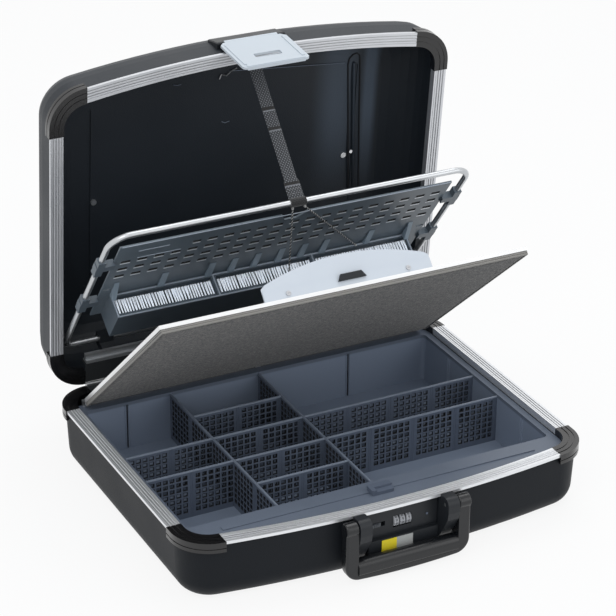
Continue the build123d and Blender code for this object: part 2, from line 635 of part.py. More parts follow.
with BuildPart() as lock_flap:
    flap_high = housing_low - 0.4
    window_rise, window_half = 8.4, 15
    with BuildSketch(Plane(origin=(0, FLAP_INNER, 0), x_dir=(1, 0, 0), z_dir=(0, -1, 0))):
        with Locations((0, (FLAP_LOW + flap_high) / 2)):
            Rectangle(2 * FLAP_HALF, flap_high - FLAP_LOW)
        with Locations((0, DIAL_Z)):
            RectangleRounded(2 * window_half, window_rise, 2, mode=Mode.SUBTRACT)
    extrude(amount=FLAP_SHEET)
    upright_edges = lock_flap.edges().filter_by(Axis.Y)
    chamfer([edge for edge in upright_edges if edge.center().Z > flap_high - 1
             and abs(edge.center().X) > FLAP_HALF - 1], 5)
    fillet([edge for edge in lock_flap.edges().filter_by(Axis.Y) if edge.center().Z < FLAP_LOW + 1], 4)
    ridge_out, ridge_wide = 0.8, 3
    with Locations([(side * (FLAP_HALF - 5), FLAP_INNER - FLAP_SHEET - ridge_out / 2 + 0.1,
                     (FLAP_LOW + flap_high) / 2) for side in (-1, 1)]):
        Box(ridge_wide, ridge_out + 0.2, flap_high - FLAP_LOW - 12)
    with Locations((0, FLAP_INNER - FLAP_SHEET - 0.3, FLAP_LOW + 2.2)):
        Box(2 * FLAP_HALF - 9, 1, 2.6)
    with Locations((0, FLAP_INNER + 0.6, FLAP_LOW + 1.3)):
        Box(2 * FLAP_HALF - 10, 1.2, 2.6)
    with Locations((0, FLAP_HINGE_Y, FLAP_HINGE_Z)):
        Cylinder(2.2, 2 * KNUCKLE_HALF, rotation=(0, 90, 0))
    with Locations((0, FLAP_HINGE_Y - 0.9, FLAP_HINGE_Z - 2.4)):
        Box(2 * KNUCKLE_HALF, 1.6, 2.8)
    with Locations((0, FLAP_HINGE_Y, FLAP_HINGE_Z)):
        Cylinder(FLAP_PIN + RUNNING, 2 * FLAP_HALF, rotation=(0, 90, 0), mode=Mode.SUBTRACT)
save_lid(lock_flap.part, "lock_flap")


# Foam panel
def slab(plane, x_half, s_range, out_range, x_middle=0):
    """Flat slab in a tilted plane: half width, reach from the hinge, and depth below it."""
    with BuildPart() as flat:
        with BuildSketch(plane.offset(out_range[0])):
            with Locations((x_middle, sum(s_range) / 2)):
                Rectangle(2 * x_half, s_range[1] - s_range[0])
        extrude(amount=out_range[1] - out_range[0])
    return flat.part


BOARD_START = 9
save(slab(PANEL, PANEL_HALF - EDGE_SHEET, (BOARD_START, PANEL_END - EDGE_SHEET),
          (BOARD_TOP, BOARD_UNDER)), "panel_board")
save(slab(PANEL, PANEL_HALF - 0.6, (BOARD_START, PANEL_END - 0.6),
          (BOARD_UNDER, FOAM_UNDER)), "panel_foam")

with BuildPart() as panel_edge:
    lip = 6
    add(slab(PANEL, PANEL_HALF, (BOARD_START, PANEL_END),
             (BOARD_TOP - EDGE_SHEET, BOARD_UNDER)))
    add(slab(PANEL, PANEL_HALF - EDGE_SHEET, (BOARD_START - 1, PANEL_END - EDGE_SHEET),
             (BOARD_TOP, BOARD_UNDER + 1)), mode=Mode.SUBTRACT)
    add(slab(PANEL, PANEL_HALF - lip, (BOARD_START - 1, PANEL_END - lip),
             (BOARD_TOP - 2, BOARD_UNDER + 1)), mode=Mode.SUBTRACT)
save(panel_edge.part, "panel_edge")

with BuildPart() as panel_hinge_profile:
    for side in (-1, 1):
        with Locations((side * 100.3, PANEL_HINGE_Y, PANEL_HINGE_Z)):
            Cylinder(3.2, 193, rotation=(0, 90, 0))
        with BuildSketch(PANEL.offset(BOARD_TOP)):
            with Locations((side * 100.3, BOARD_START / 2)):
                Rectangle(193, BOARD_START)
        extrude(amount=BOARD_UNDER - BOARD_TOP)
    with BuildSketch(PANEL.offset(BOARD_TOP)):
        with Locations((0, 7)):
            Rectangle(2 * PANEL_HALF - 6, 4)
    extrude(amount=BOARD_UNDER - BOARD_TOP)
    with Locations((0, PANEL_HINGE_Y, PANEL_HINGE_Z)):
        Cylinder(PANEL_PIN + RUNNING, 420, rotation=(0, 90, 0), mode=Mode.SUBTRACT)
save(panel_hinge_profile.part, "panel_hinge_profile")

BRACKET_X, BRACKET_HALF, BRACKET_RISE, BRACKET_END = 1.5, 93.5, 32.5, 14
BRACKET_SHEET = 1.4
BRACKET_BASE = BOARD_TOP - EDGE_SHEET
upright = Plane(origin=PANEL.from_local_coords(Vector(BRACKET_X, PANEL_END - 2.4, BRACKET_BASE)),
                x_dir=(1, 0, 0), z_dir=PANEL.y_dir)
with BuildPart() as panel_bracket:
    with BuildSketch(upright):
        with BuildLine():
            Polyline((-BRACKET_HALF + 5, BRACKET_END + 3.5), (-BRACKET_HALF, BRACKET_END),
                     (-BRACKET_HALF, 0), (BRACKET_HALF, 0), (BRACKET_HALF, BRACKET_END),
                     (BRACKET_HALF - 5, BRACKET_END + 3.5))
            ThreePointArc((BRACKET_HALF - 5, BRACKET_END + 3.5), (0, BRACKET_RISE),
                          (-BRACKET_HALF + 5, BRACKET_END + 3.5))
        make_face()
    extrude(amount=BRACKET_SHEET)
    with BuildSketch(upright):
        with Locations((0, 5)):
            Rectangle(2 * BRACKET_HALF, 10)
    extrude(amount=BRACKET_SHEET + 0.8)
    with BuildSketch(PANEL.offset(BRACKET_BASE - BRACKET_SHEET)):
        with Locations((BRACKET_X, PANEL_END - 9)):
            Rectangle(2 * BRACKET_HALF, 14)
    extrude(amount=BRACKET_SHEET)
save(panel_bracket.part, "panel_bracket")

band_face = upright.offset(BRACKET_SHEET + 0.8)
with BuildPart() as bracket_screws:
    with BuildSketch(band_face):
        with Locations([(side * 67, 4.4) for side in (-1, 1)]):
            Circle(2.6)
    extrude(amount=1.3)
    with BuildSketch(band_face.offset(1.3)):
        with Locations([(side * 67, 4.4) for side in (-1, 1)]):
            Rectangle(3.4, 0.8)
    extrude(amount=-0.6, mode=Mode.SUBTRACT)
save(bracket_screws.part, "bracket_screws")

with BuildPart() as panel_catch:
    with BuildSketch(band_face.offset(0.3)):
        with Locations((3.5, 8.4)):
            Trapezoid(31, 6.8, 60)
    extrude(amount=3.4)
    chamfer(panel_catch.faces().sort_by(Axis((0, 0, 0), PANEL.y_dir))[-1].edges(), 0.8)
save(panel_catch.part, "panel_catch")


# Pallet: wire frame, slotted plate, brush shelf, clips and cords
TOP_BEND, FOOT_BEND = 22, 12
with BuildPart() as pallet_wire:
    with BuildLine(PALLET) as loop:
        FilletPolyline((0, 0), (WIRE_HALF, 0), (WIRE_HALF, WIRE_REACH), (-WIRE_HALF, WIRE_REACH),
                       (-WIRE_HALF, 0), (-0.5, 0), radius=[FOOT_BEND, TOP_BEND, TOP_BEND, FOOT_BEND])
    with BuildSketch(loop.line ^ 0):
        Circle(WIRE_RADIUS)
    sweep()
save(pallet_wire.part, "pallet_wire")

with BuildPart() as tool_plate:
    with BuildSketch(PALLET.offset(-PLATE_SHEET / 2)) as plate_face:
        with BuildLine():
            notch_left, notch_right, notch_foot, notch_drop = -10, 19, 5, 10
            Polyline((-PLATE_HALF, PLATE_LOW), (-PLATE_HALF, PLATE_HIGH), (notch_left, PLATE_HIGH),
                     (notch_left + notch_foot, PLATE_HIGH - notch_drop),
                     (notch_right - 2 * notch_foot, PLATE_HIGH - notch_drop),
                     (notch_right, PLATE_HIGH), (PLATE_HALF, PLATE_HIGH), (PLATE_HALF, PLATE_LOW),
                     close=True)
        make_face()
        columns = [(k - (SLOT_COLUMNS - 1) / 2) * SLOT_PITCH for k in range(SLOT_COLUMNS)]
        slots = [(x, s) for s in SLOT_ROWS for x in columns if s < SLOT_ROWS[0] or x > -105]
        slots = [(x, s) for x, s in slots if abs(x - 4) > 17 or s < PLATE_HIGH - notch_drop - 4]
        slots += [(-184, 120), (184, 120)]
        with Locations(slots):
            SlotOverall(9.4, 3.4, mode=Mode.SUBTRACT)
    extrude(amount=PLATE_SHEET)
    ribs = [(side * place, RIB_OUT, RIB_WIDTH) for place in RIB_PLACES for side in (-1, 1)]
    end_x = SHELF_HALF - END_RIB_WIDTH / 2
    ribs += [(SHELF_X + side * end_x, END_RIB_OUT, END_RIB_WIDTH) for side in (-1, 1)]
    for x, out, width in ribs:
        with BuildSketch(Plane(origin=PALLET.from_local_coords(Vector(x - width / 2, 0, 0)),
                               x_dir=PALLET.y_dir, z_dir=(1, 0, 0))):
            with BuildLine():
                Polyline((SHELF_HIGH, PLATE_SHEET / 2 - 0.2), (SHELF_HIGH, out),
                         (RIB_HIGH - 2, PLATE_SHEET / 2 + 0.8), (RIB_HIGH, PLATE_SHEET / 2 - 0.2),
                         close=True)
            make_face()
        extrude(amount=width)
save(tool_plate.part, "tool_plate")

SHELF_FRONT = PLATE_SHEET / 2 + SHELF_DEPTH
FRAME_BAR = 2.6
SEGMENT = 2 * SHELF_HALF / 3
with BuildPart() as brush_shelf:
    add(slab(PALLET, SHELF_HALF, (SHELF_LOW, SHELF_HIGH), (PLATE_SHEET / 2, SHELF_FRONT), SHELF_X))
    well_back, well_front = PLATE_SHEET / 2 + 4, SHELF_FRONT - 2
    with BuildSketch(PALLET.offset(well_back)):
        with Locations([(SHELF_X + SEGMENT * k, (SHELF_LOW + SHELF_HIGH) / 2) for k in (-1, 0, 1)]):
            Rectangle(SEGMENT - 2 * FRAME_BAR, SHELF_HIGH - SHELF_LOW + 2)
    extrude(amount=well_front - well_back, mode=Mode.SUBTRACT)
save(brush_shelf.part, "brush_shelf")


def brush(middle_x):
    """Brush: a backing bar at the front of its well with tufts reaching back to the plate."""
    strand, fan = 0.6, 1.2
    reach, root, backing = 17.5, 0.75, 3.4
    level = SHELF_HIGH - 3
    bar_front = well_front - 0.1
    first = middle_x - TUFT_PITCH * (TUFTS - 1) / 2
    strands = [
        PALLET.location
        * Location((first + TUFT_PITCH * k + root * j, level, bar_front - backing + 0.5), (0, fan * j, 0))
        * Location((0, 0, -reach / 2))
        for k in range(TUFTS)
        for j in (-1, 0, 1)
    ]
    with BuildPart() as piece:
        bar_half = SEGMENT / 2 - FRAME_BAR - 0.1
        add(slab(PALLET, bar_half, (level - 2, level + 2), (bar_front - backing, bar_front), middle_x))
        with Locations(strands):
            Box(strand, strand, reach)
    return piece.part


for name, place in (("brush_left", -1), ("brush_middle", 0), ("brush_right", 1)):
    save(brush(SHELF_X + SEGMENT * place), name)

with BuildPart() as wire_clips:
    clip_out = WIRE_RADIUS + 0.9
    for reach in (98, 176):
        with BuildSketch(PALLET.offset(-clip_out)):
            with Locations([(side * (WIRE_HALF - 5.6), reach) for side in (-1, 1)]):
                Rectangle(20.4, 9)
            with Locations([(side * WIRE_HALF, reach) for side in (-1, 1)]):
                Rectangle(2 * clip_out, 27)
        extrude(amount=2 * clip_out)
    add(pallet_wire.part, mode=Mode.SUBTRACT)
    add(tool_plate.part, mode=Mode.SUBTRACT)
save(wire_clips.part, "wire_clips")


def cord(start, end, radius):
    """Straight cord between two points of the pallet plane."""
    start, end = (PALLET.from_local_coords(Vector(*point)) for point in (start, end))
    with BuildPart() as piece:
        with BuildSketch(Plane(origin=start, z_dir=end - start)):
            Circle(radius)
        extrude(amount=(end - start).length)
    return piece.part


SLEEVE_RADIUS, STRAP_WIDTH, STRAP_THICK = 5, 20, 1.6
cord_out, cord_radius = 3.4, 0.6
sleeve_foot = WIRE_REACH - SLEEVE_RADIUS - 1.2
left_cord = cord((-5, sleeve_foot, cord_out), (17.5, SHELF_HIGH + 1, SHELF_FRONT - 1), cord_radius)
right_cord = cord((9, sleeve_foot, cord_out), (108, SHELF_HIGH + 1, cord_out), cord_radius)
save(Compound(children=[left_cord, right_cord]), "tie_cords")

# Strap from the lid's front edge to the wire, with a sleeve sewn round the wire
ANCHOR_Y, ANCHOR_Z = -163, LID_FACE + 10
with BuildPart() as strap_anchor:
    with Locations((0, (ANCHOR_Y - 176.7) / 2, ANCHOR_Z - 0.8)):
        Box(26, 176.7 + ANCHOR_Y, 2)
    with Locations((0, ANCHOR_Y - 1.5, ANCHOR_Z + 1.7)):
        Box(26, 3, 7)
save_lid(strap_anchor.part, "strap_anchor")

anchor_open = Vector(0, *swung(LID_OPEN, ANCHOR_Y + 0.9, ANCHOR_Z))
bar_centre = PALLET.from_local_coords(Vector(0, WIRE_REACH, 0))
strap_way = (anchor_open - bar_centre).normalized()
strap_start = bar_centre + strap_way * (WIRE_RADIUS + 1)
strap_plane = Plane(origin=strap_start, x_dir=(1, 0, 0), z_dir=strap_way)
with BuildPart() as strap:
    with BuildSketch(strap_plane):
        Rectangle(STRAP_WIDTH, STRAP_THICK)
    extrude(amount=(anchor_open - strap_start).length)
    with BuildSketch(strap_plane):
        Rectangle(STRAP_WIDTH, 2 * STRAP_THICK)
    extrude(amount=0.55 * (anchor_open - strap_start).length)
    with Locations(bar_centre):
        Cylinder(SLEEVE_RADIUS, STRAP_WIDTH, rotation=(0, 90, 0))
        Cylinder(WIRE_RADIUS, STRAP_WIDTH + 2, rotation=(0, 90, 0), mode=Mode.SUBTRACT)
save(strap.part, "strap")
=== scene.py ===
"""Open hard tool case: finishes, bristles, foam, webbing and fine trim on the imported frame."""

from __future__ import annotations

import json
import logging
import math
from dataclasses import dataclass, field
from enum import Enum
from typing import Any, Iterable, Sequence, Union

import bmesh
import bpy
from mathutils import Matrix, Vector, noise

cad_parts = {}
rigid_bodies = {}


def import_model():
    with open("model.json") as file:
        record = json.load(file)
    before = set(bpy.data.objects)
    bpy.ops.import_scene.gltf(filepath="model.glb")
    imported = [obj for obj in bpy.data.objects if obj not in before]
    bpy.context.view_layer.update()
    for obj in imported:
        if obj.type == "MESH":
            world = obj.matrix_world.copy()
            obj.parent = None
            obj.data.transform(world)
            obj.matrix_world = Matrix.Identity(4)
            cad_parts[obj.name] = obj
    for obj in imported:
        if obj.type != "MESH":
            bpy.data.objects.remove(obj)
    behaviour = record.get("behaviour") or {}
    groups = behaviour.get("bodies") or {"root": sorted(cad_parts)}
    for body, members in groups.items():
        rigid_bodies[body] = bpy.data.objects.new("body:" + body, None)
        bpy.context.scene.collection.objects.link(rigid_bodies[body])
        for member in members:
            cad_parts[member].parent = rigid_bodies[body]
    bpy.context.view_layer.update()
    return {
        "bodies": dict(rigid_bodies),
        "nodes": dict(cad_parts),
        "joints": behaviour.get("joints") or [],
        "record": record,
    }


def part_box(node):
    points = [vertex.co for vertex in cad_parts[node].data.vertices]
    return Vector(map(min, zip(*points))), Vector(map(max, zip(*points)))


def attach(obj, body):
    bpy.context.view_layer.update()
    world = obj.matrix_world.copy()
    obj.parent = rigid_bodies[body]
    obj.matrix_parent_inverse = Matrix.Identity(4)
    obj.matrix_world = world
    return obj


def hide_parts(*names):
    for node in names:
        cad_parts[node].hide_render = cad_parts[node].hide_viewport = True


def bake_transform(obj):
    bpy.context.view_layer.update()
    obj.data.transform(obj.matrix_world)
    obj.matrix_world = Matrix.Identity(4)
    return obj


LOG = logging.getLogger("tool_case")
MM = 0.001
Colour = tuple[float, float, float]


class Body(Enum):
    """The moving bodies that a piece can ride on."""

    CASE = "case"
    LID = "lid"
    PANEL = "panel"
    PALLET = "pallet"
    FLAP = "flap"


def linear(red: int, green: int, blue: int) -> Colour:
    """Turn a colour written as 0 to 255 into linear light.

    Args:
        red: Red part.
        green: Green part.
        blue: Blue part.

    Returns:
        The same colour in linear light.
    """
    parts = (red / 255, green / 255, blue / 255)
    return tuple(p / 12.92 if p <= 0.04045 else ((p + 0.055) / 1.055) ** 2.4 for p in parts)


def times(colour: Colour, share: float) -> Colour:
    """Make a colour lighter or darker.

    Args:
        colour: The colour in linear light.
        share: What each part is multiplied by.

    Returns:
        The new colour.
    """
    return tuple(part * share for part in colour)


# Shader expressions
class Signal:
    """A number that varies over a surface; arithmetic on it adds Math nodes."""

    def __init__(self, graph: "Graph", socket: bpy.types.NodeSocket) -> None:
        """Wrap an output socket of a graph."""
        self.graph = graph
        self.socket = socket

    def _math(self, operation: str, *values: "Value") -> "Signal":
        """Add one Math node."""
        node = self.graph.add("ShaderNodeMath", {"operation": operation}, dict(enumerate(values)))
        return Signal(self.graph, node.outputs[0])

    def __add__(self, other: "Value") -> "Signal":
        """Sum."""
        return self._math("ADD", self, other)

    def __radd__(self, other: "Value") -> "Signal":
        """Sum with a plain number first."""
        return self._math("ADD", other, self)

    def __sub__(self, other: "Value") -> "Signal":
        """Difference."""
        return self._math("SUBTRACT", self, other)

    def __rsub__(self, other: "Value") -> "Signal":
        """Difference with a plain number first."""
        return self._math("SUBTRACT", other, self)

    def __mul__(self, other: "Value") -> "Signal":
        """Product."""
        return self._math("MULTIPLY", self, other)

    def __rmul__(self, other: "Value") -> "Signal":
        """Product with a plain number first."""
        return self._math("MULTIPLY", other, self)

    def __abs__(self) -> "Signal":
        """Size without its sign."""
        return self._math("ABSOLUTE", self)

    def wave(self) -> "Signal":
        """Sine of the value."""
        return self._math("SINE", self)

    def floor(self) -> "Signal":
        """Whole part of the value."""
        return self._math("FLOOR", self)

    def root(self) -> "Signal":
        """Square root of the value."""
        return self._math("SQRT", self)

    def least(self, other: "Value") -> "Signal":
        """Smaller of two values."""
        return self._math("MINIMUM", self, other)

    def from_middle(self, pitch: float) -> "Signal":
        """Signed distance from the middle of the repeat that the value lies in.

        Args:
            pitch: Length of one repeat.

        Returns:
            The distance, from minus to plus half a pitch.
        """
        turns = self * (1 / pitch)
        return (turns - turns.floor() - 0.5) * pitch

    def within(self, reach: float, soft: float) -> "Signal":
        """1 where the value's size is below a reach, falling to 0 just outside it.

        Args:
            reach: Where the fall starts.
            soft: Width of the fall.

        Returns:
            The mask.
        """
        return 1 - abs(self).step(reach, reach + soft)

    def step(self, low: float, high: float) -> "Signal":
        """Rise smoothly from 0 to 1 between two levels.

        Args:
            low: Level where the result is 0.
            high: Level where the result is 1.

        Returns:
            The smooth step.
        """
        settings = {"interpolation_type": "SMOOTHSTEP", "clamp": True}
        inputs = {"Value": self, "From Min": low, "From Max": high}
        return Signal(self.graph, self.graph.add("ShaderNodeMapRange", settings, inputs).outputs[0])


Value = Union[Signal, float]


class Graph:
    """Node graph of one material or of the world."""

    def __init__(self, owner: bpy.types.Material | bpy.types.World) -> None:
        """Clear the owner's nodes."""
        self.owner = owner
        owner.use_nodes = True
        self.tree = owner.node_tree
        self.tree.nodes.clear()
        self._place: bpy.types.NodeSocket | None = None

    @classmethod
    def of_material(cls, name: str) -> "Graph":
        """Start an empty material.

        Args:
            name: Its name.

        Returns:
            The material's graph.
        """
        return cls(bpy.data.materials.new(name))

    def add(self, kind: str, settings: dict[str, Any], inputs: dict[Any, Any]) -> bpy.types.Node:
        """Add a node.

        Args:
            kind: The node's type.
            settings: Attributes, set first.
            inputs: Values or links by socket name or number.

        Returns:
            The node.
        """
        node = self.tree.nodes.new(kind)
        for name, value in settings.items():
            setattr(node, name, value)
        for key, value in inputs.items():
            source = value.socket if isinstance(value, Signal) else value
            if isinstance(source, bpy.types.NodeSocket):
                self.tree.links.new(source, node.inputs[key])
            else:
                node.inputs[key].default_value = source
        return node

    def place(self) -> bpy.types.NodeSocket:
        """Object coordinates, in metres."""
        if self._place is None:
            self._place = self.add("ShaderNodeTexCoord", {}, {}).outputs["Object"]
        return self._place

    def stretched(self, scale: Sequence[float]) -> bpy.types.NodeSocket:
        """Object coordinates, scaled unevenly.

        Args:
            scale: Scale along x, y and z.

        Returns:
            The vector socket.
        """
        inputs = {"Vector": self.place(), "Scale": tuple(scale)}
        return self.add("ShaderNodeMapping", {}, inputs).outputs[0]

    def axis(self, letter: str) -> Signal:
        """One object coordinate.

        Args:
            letter: X, Y or Z.

        Returns:
            That coordinate in metres.
        """
        node = self.add("ShaderNodeSeparateXYZ", {}, {0: self.place()})
        return Signal(self, node.outputs[letter])

    def mottle(self, size: float, detail: float = 2.0,
               vector: bpy.types.NodeSocket | None = None) -> Signal:
        """Soft noise from 0 to 1.

        Args:
            size: Size of its spots, in metres.
            detail: Number of finer layers.
            vector: Coordinates, or None for object coordinates.

        Returns:
            The noise.
        """
        inputs = {"Vector": vector or self.place(), "Scale": 1 / size, "Detail": detail}
        return Signal(self, self.add("ShaderNodeTexNoise", {}, inputs).outputs[0])

    def cells(self, size: float) -> Signal:
        """Distance pattern of random cells.

        Args:
            size: Size of a cell, in metres.

        Returns:
            The distance.
        """
        inputs = {"Vector": self.place(), "Scale": 1 / size}
        node = self.add("ShaderNodeTexVoronoi", {"feature": "F1"}, inputs)
        return Signal(self, node.outputs["Distance"])

    def blend(self, share: Value, first: Any, second: Any) -> bpy.types.NodeSocket:
        """Mix two colours.

        Args:
            share: Share of the second colour.
            first: First colour or its link.
            second: Second colour or its link.

        Returns:
            The colour socket.
        """
        first, second = (c if isinstance(c, bpy.types.NodeSocket) else (*c, 1) for c in (first, second))
        node = self.add("ShaderNodeMix", {"data_type": "RGBA"}, {0: share, 6: first, 7: second})
        return node.outputs[2]

    def bump(self, height: Signal, depth: float) -> bpy.types.NodeSocket:
        """Surface relief.

        Args:
            height: Height from 0 to 1.
            depth: Depth that 1 stands for, in metres.

        Returns:
            The normal socket.
        """
        inputs = {"Height": height, "Distance": depth, "Strength": 1.0}
        return self.add("ShaderNodeBump", {}, inputs).outputs[0]

    def finish(self, **inputs: Any) -> bpy.types.Material:
        """Close the material with its surface shader.

        Args:
            inputs: Values of the shader's sockets, with underscores for spaces.

        Returns:
            The material.
        """
        sockets = {key.replace("_", " "): value for key, value in inputs.items()}
        colour = sockets.get("Base Color")
        if isinstance(colour, tuple):
            sockets["Base Color"] = (*colour, 1)
        shader = self.add("ShaderNodeBsdfPrincipled", {}, sockets)
        self.add("ShaderNodeOutputMaterial", {}, {"Surface": shader.outputs[0]})
        return self.owner


# Finishes
@dataclass(frozen=True)
class GrainedShell:
    """Black moulded shell with a fine leather-like grain; optional paler bands paint reflection on the
    lid's inner face.
    """

    name: str
    colour: Colour
    grain: float = 0.9 * MM
    depth: float = 0.10 * MM
    roughness: float = 0.5
    specular: float = 0.5
    hinge: Sequence[float] = (0.0, 0.0, 0.0)
    opened: float = 0.0
    inside: float = 76 * MM
    fade: Sequence[float] = (-240 * MM, -110 * MM)
    front: float = -340 * MM
    bands: Sequence[Sequence[float]] = ()

    def rubbed(self, graph: Graph) -> Signal:
        """Upright paler bands of painted reflection on the lid's inner face, fading towards the hinge.

        Args:
            graph: The material's graph.

        Returns:
            Their strength.
        """
        x, y, z = (graph.axis(letter) for letter in "XYZ")
        _, hinge_y, hinge_z = self.hinge
        height = (y - hinge_y) * math.sin(self.opened) + (z - hinge_z) * math.cos(self.opened)
        closed = (y - hinge_y) * math.cos(self.opened) - (z - hinge_z) * math.sin(self.opened)
        strength = 0.0
        for middle, half, soft, share in self.bands:
            strength = (x - middle).within(half, soft) * share + strength
        strength = strength * closed.step(self.front, self.front + 10 * MM) * (1 - closed.step(*self.fade))
        return strength * (1 - height.step(self.inside, self.inside + MM))

    def material(self) -> bpy.types.Material:
        """Build the material."""
        graph = Graph.of_material(self.name)
        pits = graph.cells(self.grain)
        wander = graph.mottle(60 * MM, 3)
        lighter = times(self.colour, 1.5)
        colour = graph.blend(wander * 0.5 + pits * 0.5, self.colour, lighter)
        # Painted reflection: paler upright bands on the lid's inner face.
        if self.bands:
            colour = graph.blend(self.rubbed(graph), colour, times(self.colour, 9))
        rough = self.roughness + (wander - 0.5) * 0.16
        return graph.finish(Base_Color=colour, Roughness=rough, Normal=graph.bump(pits, self.depth),
                            Specular_IOR_Level=self.specular)


@dataclass(frozen=True)
class DrawnAluminium:
    """Drawn and anodised aluminium with faint lines along its length."""

    name: str
    colour: Colour
    line: Sequence[float] = (40.0, 40.0, 3000.0)
    roughness: float = 0.34

    def material(self) -> bpy.types.Material:
        """Build the material."""
        graph = Graph.of_material(self.name)
        lines = graph.mottle(1.0, 3, graph.stretched(self.line))
        cloud = graph.mottle(25 * MM, 2)
        darker = times(self.colour, 0.78)
        colour = graph.blend(lines * 0.7 + cloud * 0.3, darker, self.colour)
        rough = self.roughness + (lines - 0.5) * 0.2
        normal = graph.bump(lines, 0.03 * MM)
        return graph.finish(Base_Color=colour, Metallic=0.82, Roughness=rough, Normal=normal)


@dataclass(frozen=True)
class RidgedRim:
    """Extruded aluminium rim whose grooves follow the bowed plan of the case, with painted shade darkening
    them.
    """

    name: str
    colour: Colour
    hinge: Sequence[float]
    opened: float = 0.0
    half: float = 227.5 * MM
    front: float = -182 * MM
    bow: float = 20 * MM
    groove: float = 3.5 * MM
    pitch: float = 3 * MM
    last: float = 11.5 * MM

    def inset(self, graph: Graph) -> Signal:
        """Distance from the widest line of the plan.

        Args:
            graph: The material's graph.

        Returns:
            The distance in metres.
        """
        x, y, z = (graph.axis(letter) for letter in "XYZ")
        _, hinge_y, hinge_z = self.hinge
        closed = (y - hinge_y) * math.cos(self.opened) - (z - hinge_z) * math.sin(self.opened)
        radius = (self.half ** 2 + self.bow ** 2) / (2 * self.bow)
        down = closed + (hinge_y - self.front - radius)
        return (radius - (x * x + down * down).root()).least(self.half - abs(x))

    def material(self) -> bpy.types.Material:
        """Build the material."""
        graph = Graph.of_material(self.name)
        inset = self.inset(graph)
        cloud = graph.mottle(30 * MM, 2)
        grooves_and_shade = (inset - self.groove + self.pitch / 2).from_middle(self.pitch).within(0.3 * MM, 0.6 * MM)
        middle = (self.groove + self.last) / 2
        grooves_and_shade = grooves_and_shade * (inset - middle).within((self.last - self.groove) / 2 + 0.6 * MM, 0.3 * MM)
        colour = graph.blend(cloud, self.colour, times(self.colour, 0.86))
        # Painted shade: the grooves are darkened in the colour, besides their bump.
        colour = graph.blend(grooves_and_shade * 0.6, colour, times(self.colour, 0.4))
        rough = 0.3 + cloud * 0.12
        return graph.finish(Base_Color=colour, Metallic=0.75, Roughness=rough,
                            Normal=graph.bump(1 - grooves_and_shade, 0.25 * MM))


@dataclass(frozen=True)
class PerforatedSheet:
    """Moulded sheet with painted shade in and round its rows of holes."""

    name: str
    colour: Colour
    letter: str
    start: float
    length: float
    cell: float = 51.3 * MM
    columns: int = 6
    rows: int = 7
    pitch: Sequence[float] = (7.3 * MM, 6.5 * MM)
    half_hole: Sequence[float] = (2.2 * MM, 2.0 * MM)
    middle: float = 35 * MM
    rim: float = 0.25 * MM
    soft: float = 0.4 * MM

    def holes(self, graph: Graph) -> Signal:
        """1 in and just round the holes.

        Args:
            graph: The material's graph.

        Returns:
            The mask.
        """
        panel = self.length / max(1, round(self.length / self.cell))
        across = (graph.axis(self.letter) - self.start).from_middle(panel)
        up = graph.axis("Z") - self.middle
        masks = []
        counts = (self.columns, self.rows)
        for place, count, pitch, half in zip((across, up), counts, self.pitch, self.half_hole):
            odd = pitch / 2 if count % 2 else 0.0
            masks.append((place + odd).from_middle(pitch).within(half + self.rim, self.soft))
            masks.append(place.within((count - 1) / 2 * pitch + half + self.rim, self.soft))
        mask = masks[0]
        for other in masks[1:]:
            mask = mask * other
        return mask

    def material(self) -> bpy.types.Material:
        """Build the material."""
        graph = Graph.of_material(self.name)
        cloud = graph.mottle(45 * MM, 3)
        low, high = (times(self.colour, share) for share in (0.86, 1.12))
        colour = graph.blend(cloud, low, high)
        holes = self.holes(graph)
        # Painted shade: the hole walls and a thin rim round each hole are near black.
        colour = graph.blend(holes, colour, times(self.colour, 0.05))
        return graph.finish(Base_Color=colour, Roughness=0.4 + holes * 0.4, Specular_IOR_Level=0.4,
                            Normal=graph.bump(1 - holes, 0.15 * MM))


